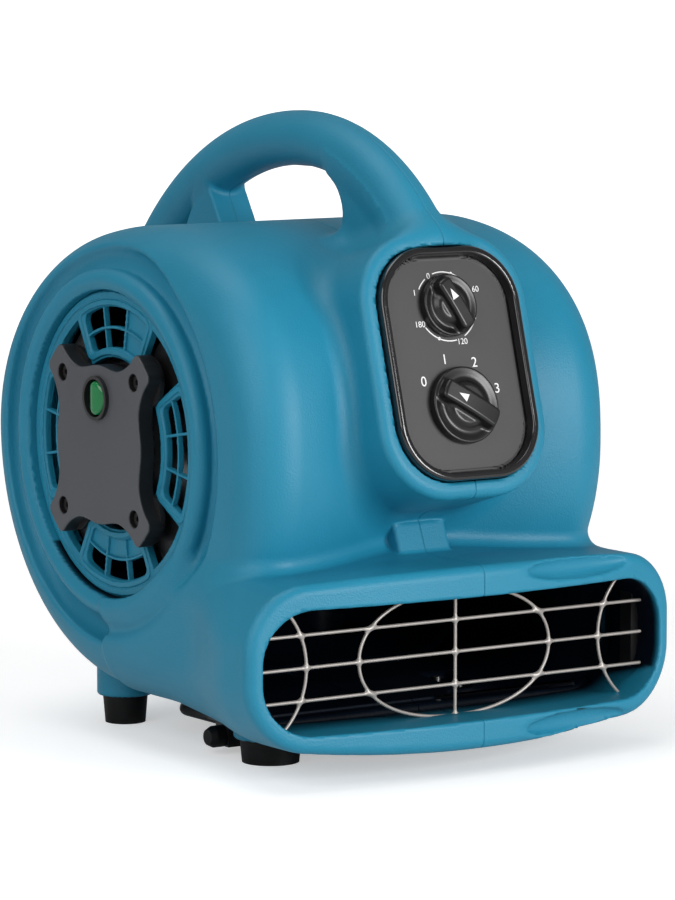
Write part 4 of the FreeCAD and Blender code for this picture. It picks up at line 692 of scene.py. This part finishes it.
def black_cross(x, f, h):
    """The bracket's dark arms that fill the gaps of the grille behind the plate."""
    outline = fillet(diagonal_arms(f, h, 68.0, 14.5, 5.0), np.hypot(f, h) - 41.0, 8.0)
    body = np.maximum(outline, np.abs(x + GRILLE_FACE - 7.5) - 1.2)
    hole = np.hypot(np.abs(f) - HOLE_HALF_PITCH, np.abs(h) - HOLE_HALF_PITCH) - 3.0
    return np.maximum(np.maximum(body, -hole), 12.0 - np.hypot(f, h - ROCKER_UP))


cross_mesh = field_mesh("motor_bracket_arms", black_cross, (-GRILLE_FACE + 4, -66, -66),
                        (-GRILLE_FACE + 11, 66, 66), ARMS_STEP)
add_piece("motor_bracket_arms", cross_mesh, "root", bracket_black)


def rocker_cap(x, f, h):
    """The lens of the rocker: a barrel about its pivot with rounded ends."""
    barrel_round = np.hypot(f, x + ROCKER_DEPTH) - 9.6
    ends = np.hypot(f / 7.6, (h - ROCKER_UP) / 8.6) * 8.0 - 8.0
    return np.maximum(rounded(barrel_round, ends, 2.0), x + ROCKER_DEPTH + 2.0)


rocker_mesh = field_mesh("rocker_lens", rocker_cap, (-ROCKER_DEPTH - 11, -10, ROCKER_UP - 11),
                         (-ROCKER_DEPTH + 1, 10, ROCKER_UP + 11), ROCKER_STEP)
add_piece("rocker_lens", rocker_mesh, "rocker", rocker_green, ("rocker",))


# ---------------------------------------------------------------- control panel
PANEL_UP = Vector((0, math.sin(TILT), math.cos(TILT)))
PANEL_OUT = Vector((0, -math.cos(TILT), math.sin(TILT)))
PANEL_ORIGIN = fan_point(0, PANEL_F, PANEL_H) / MM


def panel_matrix(up=0.0, turn=0.0, out=0.0):
    """Axes on the panel: x right, y up its slope and z out of its face; turn is clockwise, in degrees."""
    axes = Matrix((Vector((1, 0, 0)), PANEL_UP, PANEL_OUT)).transposed().to_4x4()
    spot = PANEL_ORIGIN + PANEL_UP * up + PANEL_OUT * out
    return Matrix.Translation(spot) @ axes @ Matrix.Rotation(-math.radians(turn), 4, "Z")


FACE_OUT = -3.0         # the panel's face lies this far inside its ring's seat
BEZEL_TOP, BEZEL_HALF_WIDTH, BEZEL_HALF_HEIGHT, BEZEL_CORNER = 2.6, 41.3, 57.8, 29.0
BEZEL_WIDTH = 3.7


def bezel(x, up, out):
    """The polished ring round the panel, with a rolled rim and a deep inner wall."""
    width = BEZEL_WIDTH + 0.12 * (BEZEL_TOP - out)
    outer = plate_outline(x, up, BEZEL_HALF_WIDTH, BEZEL_HALF_HEIGHT, BEZEL_CORNER)
    half_width, half_height = BEZEL_HALF_WIDTH - width, BEZEL_HALF_HEIGHT - width
    inner = -plate_outline(x, up, half_width, half_height, BEZEL_CORNER - BEZEL_WIDTH)
    return np.maximum(rounded(rounded(outer, out - BEZEL_TOP, 1.7), inner, 0.8), -5.0 - out)


def panel_face(x, up, out):
    """The satin face with a fine raised line at its edge."""
    outline = plate_outline(x, up, 37.2, 53.7, 25.0)
    body = np.maximum(rounded(outline, out - FACE_OUT, 0.4), -5.6 - out)
    line = np.maximum(np.abs(outline + 1.2) - 0.35, np.abs(out - FACE_OUT) - 0.3)
    return np.minimum(body, line)


bezel_mesh = field_mesh("panel_bezel_ring", bezel, (-43, -60, -6), (43, 60, 4), PANEL_STEP, 0, panel_matrix())
add_piece("panel_bezel_ring", bezel_mesh, "root", gloss_black, ("panel_bezel",))
face_mesh = field_mesh("panel_plate", panel_face, (-39, -56, -7), (39, 56, -1), PANEL_STEP, 0, panel_matrix())
add_piece("panel_plate", face_mesh, "root", panel_grey, ("control_panel", "switch_box_screws"))


BAR_FALL = 0.0035       # how fast a grip bar's top falls off towards its ends


def knob(radius, height):
    """A round knob: a low dished skirt crossed by a tall grip bar; the bar points up."""
    def field(x, up, out):
        around = np.hypot(x, up)
        dish = 0.9 * np.exp(-((around / radius - 0.74) / 0.14) ** 2)
        skirt = rounded(around - radius, out - 1.8 + dish, 1.0)
        core = rounded(around - 0.62 * radius + 0.25 * out, out - 4.0, 2.0)
        flank = np.abs(x) - 0.25 * radius - 0.11 * (height - out)
        bar = rounded(flank, around - 0.93 * radius + 0.16 * np.maximum(out, 0), 1.6)
        bar = rounded(bar, out - height + BAR_FALL * up ** 2, 1.5)
        return np.maximum(blend(blend(skirt, core, 2.0), bar, 1.8), FACE_OUT + 0.1 - out)
    return field


PRINT_HEIGHTS = (-0.05, 0.06)


def printed(name, points, matrix, body):
    """A flat closed outline in panel axes, raised by a hair as print."""
    mesh = bpy.data.meshes.new(name)
    count = len(points)
    layers = [matrix @ Vector((*point, height)) * MM for height in PRINT_HEIGHTS for point in points]
    faces = [tuple(range(count))[::-1], tuple(range(count, 2 * count))]
    faces += [(step, (step + 1) % count, count + (step + 1) % count, count + step) for step in range(count)]
    mesh.from_pydata([tuple(point) for point in layers], [], faces)
    return add_piece(name, mesh, body, print_white)


def written(name, text, size, matrix, body):
    """A word or number as a thin mesh."""
    curve = bpy.data.curves.new(name + "_curve", "FONT")
    curve.body, curve.size, curve.extrude = text, size, 0.05
    curve.align_x, curve.align_y = "CENTER", "CENTER"
    holder = bpy.data.objects.new(name + "_curve", curve)
    bpy.context.scene.collection.objects.link(holder)
    bpy.context.view_layer.update()
    mesh = bpy.data.meshes.new_from_object(holder)
    bpy.data.objects.remove(holder)
    mesh.transform(Matrix.Scale(MM, 4) @ matrix)
    mesh.name = name
    return add_piece(name, mesh, body, print_white)


TIMER_UP, SPEED_UP = 28.7, -20.9
KNOB_HEIGHT = 8.0
for name, shaft, body, up, radius, turn in (
        ("timer_knob", "timer_shaft", "timer", TIMER_UP, 15.5, -27.0),
        ("speed_knob", "speed_shaft", "speed_selector", SPEED_UP, 19.0, -57.0)):
    place = panel_matrix(up, turn)
    knob_mesh = field_mesh(name + "_body", knob(radius, KNOB_HEIGHT),
                           (-radius - 1, -radius - 1, FACE_OUT - 1),
                           (radius + 1, radius + 1, KNOB_HEIGHT + 1), KNOB_STEP, 0, place)
    add_piece(name + "_body", knob_mesh, body, knob_black, (name, shaft))
    middle, half = 0.3 * radius, 0.13 * radius
    arrow = [(-half, middle - 1.2 * half), (half, middle - 1.2 * half), (0, middle + 1.5 * half)]
    crown = Matrix.Translation((0, 0, KNOB_HEIGHT - BAR_FALL * middle ** 2))
    printed(name + "_pointer", arrow, place @ crown, body)


DIAL_RADIUS, DIAL_LINE, DOT_RADIUS = 17.2, 0.55, 0.85
DIAL_TEXT, SPEED_TEXT, SPEED_MARK_RADIUS = 4.2, 7.0, 24.0


def dial_arc(name, first, last):
    """A printed arc round the timer knob, clockwise from upright, in degrees."""
    angles = [math.radians(first + (last - first) * step / 12) for step in range(13)]
    outer, inner = DIAL_RADIUS + DIAL_LINE / 2, DIAL_RADIUS - DIAL_LINE / 2
    points = [(outer * math.sin(angle), outer * math.cos(angle)) for angle in reversed(angles)]
    points += [(inner * math.sin(angle), inner * math.cos(angle)) for angle in angles]
    printed(name, points, panel_matrix(TIMER_UP, 0, FACE_OUT), "root")


marks = [(-67, "I"), (-27, "0"), (20, None), (68, "60"), (112, None), (160, "120"), (204, None), (244, "180")]
for number, ((angle, text), (following, after)) in enumerate(zip(marks, marks[1:])):
    room, next_room = (9 if text else 0), (9 if after else 0)
    dial_arc(f"dial_arc_{number}", angle + room, following - next_room)
for angle, text in marks:
    turn = math.radians(angle)
    if text:
        reach = DIAL_RADIUS + {"0": 0.0, "60": 3.4}.get(text, 1.8)
        spot = (reach * math.sin(turn), reach * math.cos(turn), 0)
        place = panel_matrix(TIMER_UP, 0, FACE_OUT) @ Matrix.Translation(spot)
        written(f"dial_{text}", text, DIAL_TEXT, place, "root")
    else:
        middle_x, middle_y = DIAL_RADIUS * math.sin(turn), DIAL_RADIUS * math.cos(turn)
        corners = (math.pi / 6 * step for step in range(12))
        ring = [(middle_x + DOT_RADIUS * math.cos(a), middle_y + DOT_RADIUS * math.sin(a)) for a in corners]
        printed(f"dial_dot_{angle}", ring, panel_matrix(TIMER_UP, 0, FACE_OUT), "root")
for angle, text in ((-57, "0"), (-14, "1"), (29, "2"), (72, "3")):
    turn = math.radians(angle)
    spot = (SPEED_MARK_RADIUS * math.sin(turn), SPEED_MARK_RADIUS * math.cos(turn), 0)
    place = panel_matrix(SPEED_UP, 0, FACE_OUT) @ Matrix.Translation(spot)
    written(f"speed_{text}", text, SPEED_TEXT, place, "root")


# ---------------------------------------------------------------- outlet guard
guard_low, guard_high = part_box("outlet_grille")
GUARD_F = FAN_Y - guard_low.y / MM - 1.0
GUARD_HALF = guard_high.x / MM
GUARD_H = -95.4
GUARD_LEVELS = (-16.0, 0.0, 16.0)
GUARD_WIRE = 0.85


def outlet_guard(x, f, h):
    """Three level wires, an upright, an oval and an arc at each end, melted together where they cross."""
    away, rise = f - GUARD_F, h - GUARD_H
    wires = [np.hypot(away, rise - level) + 0 * x for level in GUARD_LEVELS]
    wires = [np.maximum(wire, np.abs(x) - GUARD_HALF + 0.6) for wire in wires]
    wires.append(np.maximum(np.hypot(x, away), np.abs(rise) - 31.0))
    wires.append(np.maximum(np.hypot(np.hypot(np.abs(x) - 128.0, rise) - 40.0, away),
                            np.maximum(np.abs(rise) - 30.0, np.abs(x) - 112.0)))
    wires.append(np.hypot(super_oval(x, rise, 57.3, 31.5, 2.15), away))
    guard = wires[0] - GUARD_WIRE
    for wire in wires[1:]:
        guard = blend(guard, wire - GUARD_WIRE, 2.2)
    return guard


guard_mesh = field_mesh("outlet_guard_wires", outlet_guard, (-GUARD_HALF - 2, GUARD_F - 3, GUARD_H - 36),
                        (GUARD_HALF + 2, GUARD_F + 3, GUARD_H + 36), GUARD_STEP)
add_piece("outlet_guard_wires", guard_mesh, "root", guard_grey, ("outlet_grille",))


# ---------------------------------------------------------------- CAD pieces that keep their shape
FINISH_OF_SLOT = {
    "teal_shell": teal, "dark_plate": plate_grey, "black_metal": bracket_black, "gloss_black": gloss_black,
    "panel_face": panel_grey, "switch_black": switch_black, "rocker_green": rocker_green,
    "guard_wire": guard_grey, "black_rubber": foot_rubber, "steel": screw_steel, "motor_iron": motor_iron,
    "copper": coil_copper, "wheel_plastic": wheel_black,
}
# Painted shade: screws deep in the plate's wells and strips inside the mouth get a darker finish than their slot
# says.
SHADED = {
    "plate_screws": bracket_black, "left_grille_strip": switch_black, "right_grille_strip": switch_black,
}
slot_of = {part["node"]: part["material_slot"] for part in frame["record"]["subparts"]}
for node, item in frame["nodes"].items():
    item.data.materials.clear()
    item.data.materials.append(SHADED.get(node, FINISH_OF_SLOT[slot_of[node]]))


# ---------------------------------------------------------------- floor, light and camera
VIEW_AZIMUTH = math.radians(-34.26)
GLOW, GLOW_REACH = (0.42, 0.95), (0.5, 3.0)     # the pale ground grows whiter between these distances


def studio_floor():
    """A pale floor that turns up into a backdrop."""
    mesh = bpy.data.meshes.new("studio_floor")
    near, far, high, bend = -6.0, 5.0, 6.0, 1.6
    profile = [(near, 0.0), (far - bend, 0.0)]
    for step in range(1, 13):
        angle = math.pi / 2 * step / 12
        profile.append((far - bend + bend * math.sin(angle), bend - bend * math.cos(angle)))
    profile.append((far, high))
    turn = Matrix.Rotation(VIEW_AZIMUTH, 4, "Z")
    sides = [[turn @ Vector((side, y, z)) for y, z in profile] for side in (-7.0, 7.0)]
    points = sides[0] + sides[1]
    count = len(profile)
    faces = [(step, step + 1, count + step + 1, count + step) for step in range(count - 1)]
    mesh.from_pydata([tuple(point) for point in points], [], faces)
    mesh.polygons.foreach_set("use_smooth", [True] * len(mesh.polygons))
    floor = bpy.data.objects.new("studio_floor", mesh)
    bpy.context.scene.collection.objects.link(floor)
    material = bpy.data.materials.new("pale floor")
    material.use_nodes = True
    tree = material.node_tree
    shader = tree.nodes["Principled BSDF"]
    shader.inputs["Base Color"].default_value = (0.82, 0.82, 0.82, 1)
    shader.inputs["Roughness"].default_value = 0.9
    shader.inputs["Emission Color"].default_value = (1, 1, 1, 1)
    seen = tree.nodes.new("ShaderNodeLightPath")
    form = tree.nodes.new("ShaderNodeNewGeometry")
    far_off = tree.nodes.new("ShaderNodeVectorMath")
    far_off.operation = "LENGTH"
    paler = tree.nodes.new("ShaderNodeMapRange")
    for label, value in zip(("From Min", "From Max", "To Min", "To Max"), (*GLOW_REACH, *GLOW)):
        paler.inputs[label].default_value = value
    glow = tree.nodes.new("ShaderNodeMath")
    glow.operation = "MULTIPLY"
    join(tree, form.outputs["Position"], far_off.inputs["Vector"])
    join(tree, far_off.outputs["Value"], paler.inputs["Value"])
    join(tree, seen.outputs["Is Camera Ray"], glow.inputs[0])
    join(tree, paler.outputs["Result"], glow.inputs[1])
    join(tree, glow.outputs["Value"], shader.inputs["Emission Strength"])
    mesh.materials.append(material)


def soft_box(name, place, target, width, watts):
    light = bpy.data.lights.new(name, "AREA")
    light.shape = "SQUARE"
    light.size = width
    light.energy = watts
    lamp = bpy.data.objects.new(name, light)
    lamp.location = place
    lamp.rotation_euler = (Vector(target) - Vector(place)).to_track_quat("-Z", "Y").to_euler()
    bpy.context.scene.collection.objects.link(lamp)


studio_floor()
middle = fan_point(0, 0, -10)
soft_box("key light", middle + Vector((0.6, -2.35, 0.4)), middle, 1.0, 46.0)
soft_box("fill light", middle + Vector((-2.2, -1.0, 1.2)), middle, 1.6, 28.0)
soft_box("top light", middle + Vector((-0.5, 0.3, 2.2)), middle, 1.5, 18.0)

world = bpy.data.worlds.new("studio")
bpy.context.scene.world = world
world.use_nodes = True
surround = world.node_tree.nodes["Background"]
surround.inputs["Color"].default_value = (1, 1, 1, 1)
surround.inputs["Strength"].default_value = 0.28

VIEW_RISE, VIEW_DISTANCE = math.radians(6.62), 2.3278
TARGET = Vector((31.2, 16.0, 141.4)) * MM
camera_data = bpy.data.cameras.new("view")
camera_data.lens = 179.1
camera_data.sensor_width = 36.0
camera_data.clip_end = 20.0
camera = bpy.data.objects.new("view", camera_data)
toward = Vector((math.sin(VIEW_AZIMUTH) * math.cos(VIEW_RISE), -math.cos(VIEW_AZIMUTH) * math.cos(VIEW_RISE),
                 math.sin(VIEW_RISE)))
camera.location = TARGET + toward * VIEW_DISTANCE
camera.rotation_euler = (-toward).to_track_quat("-Z", "Y").to_euler()
bpy.context.scene.collection.objects.link(camera)
bpy.context.scene.camera = camera
bpy.context.scene.view_settings.view_transform = "Standard"
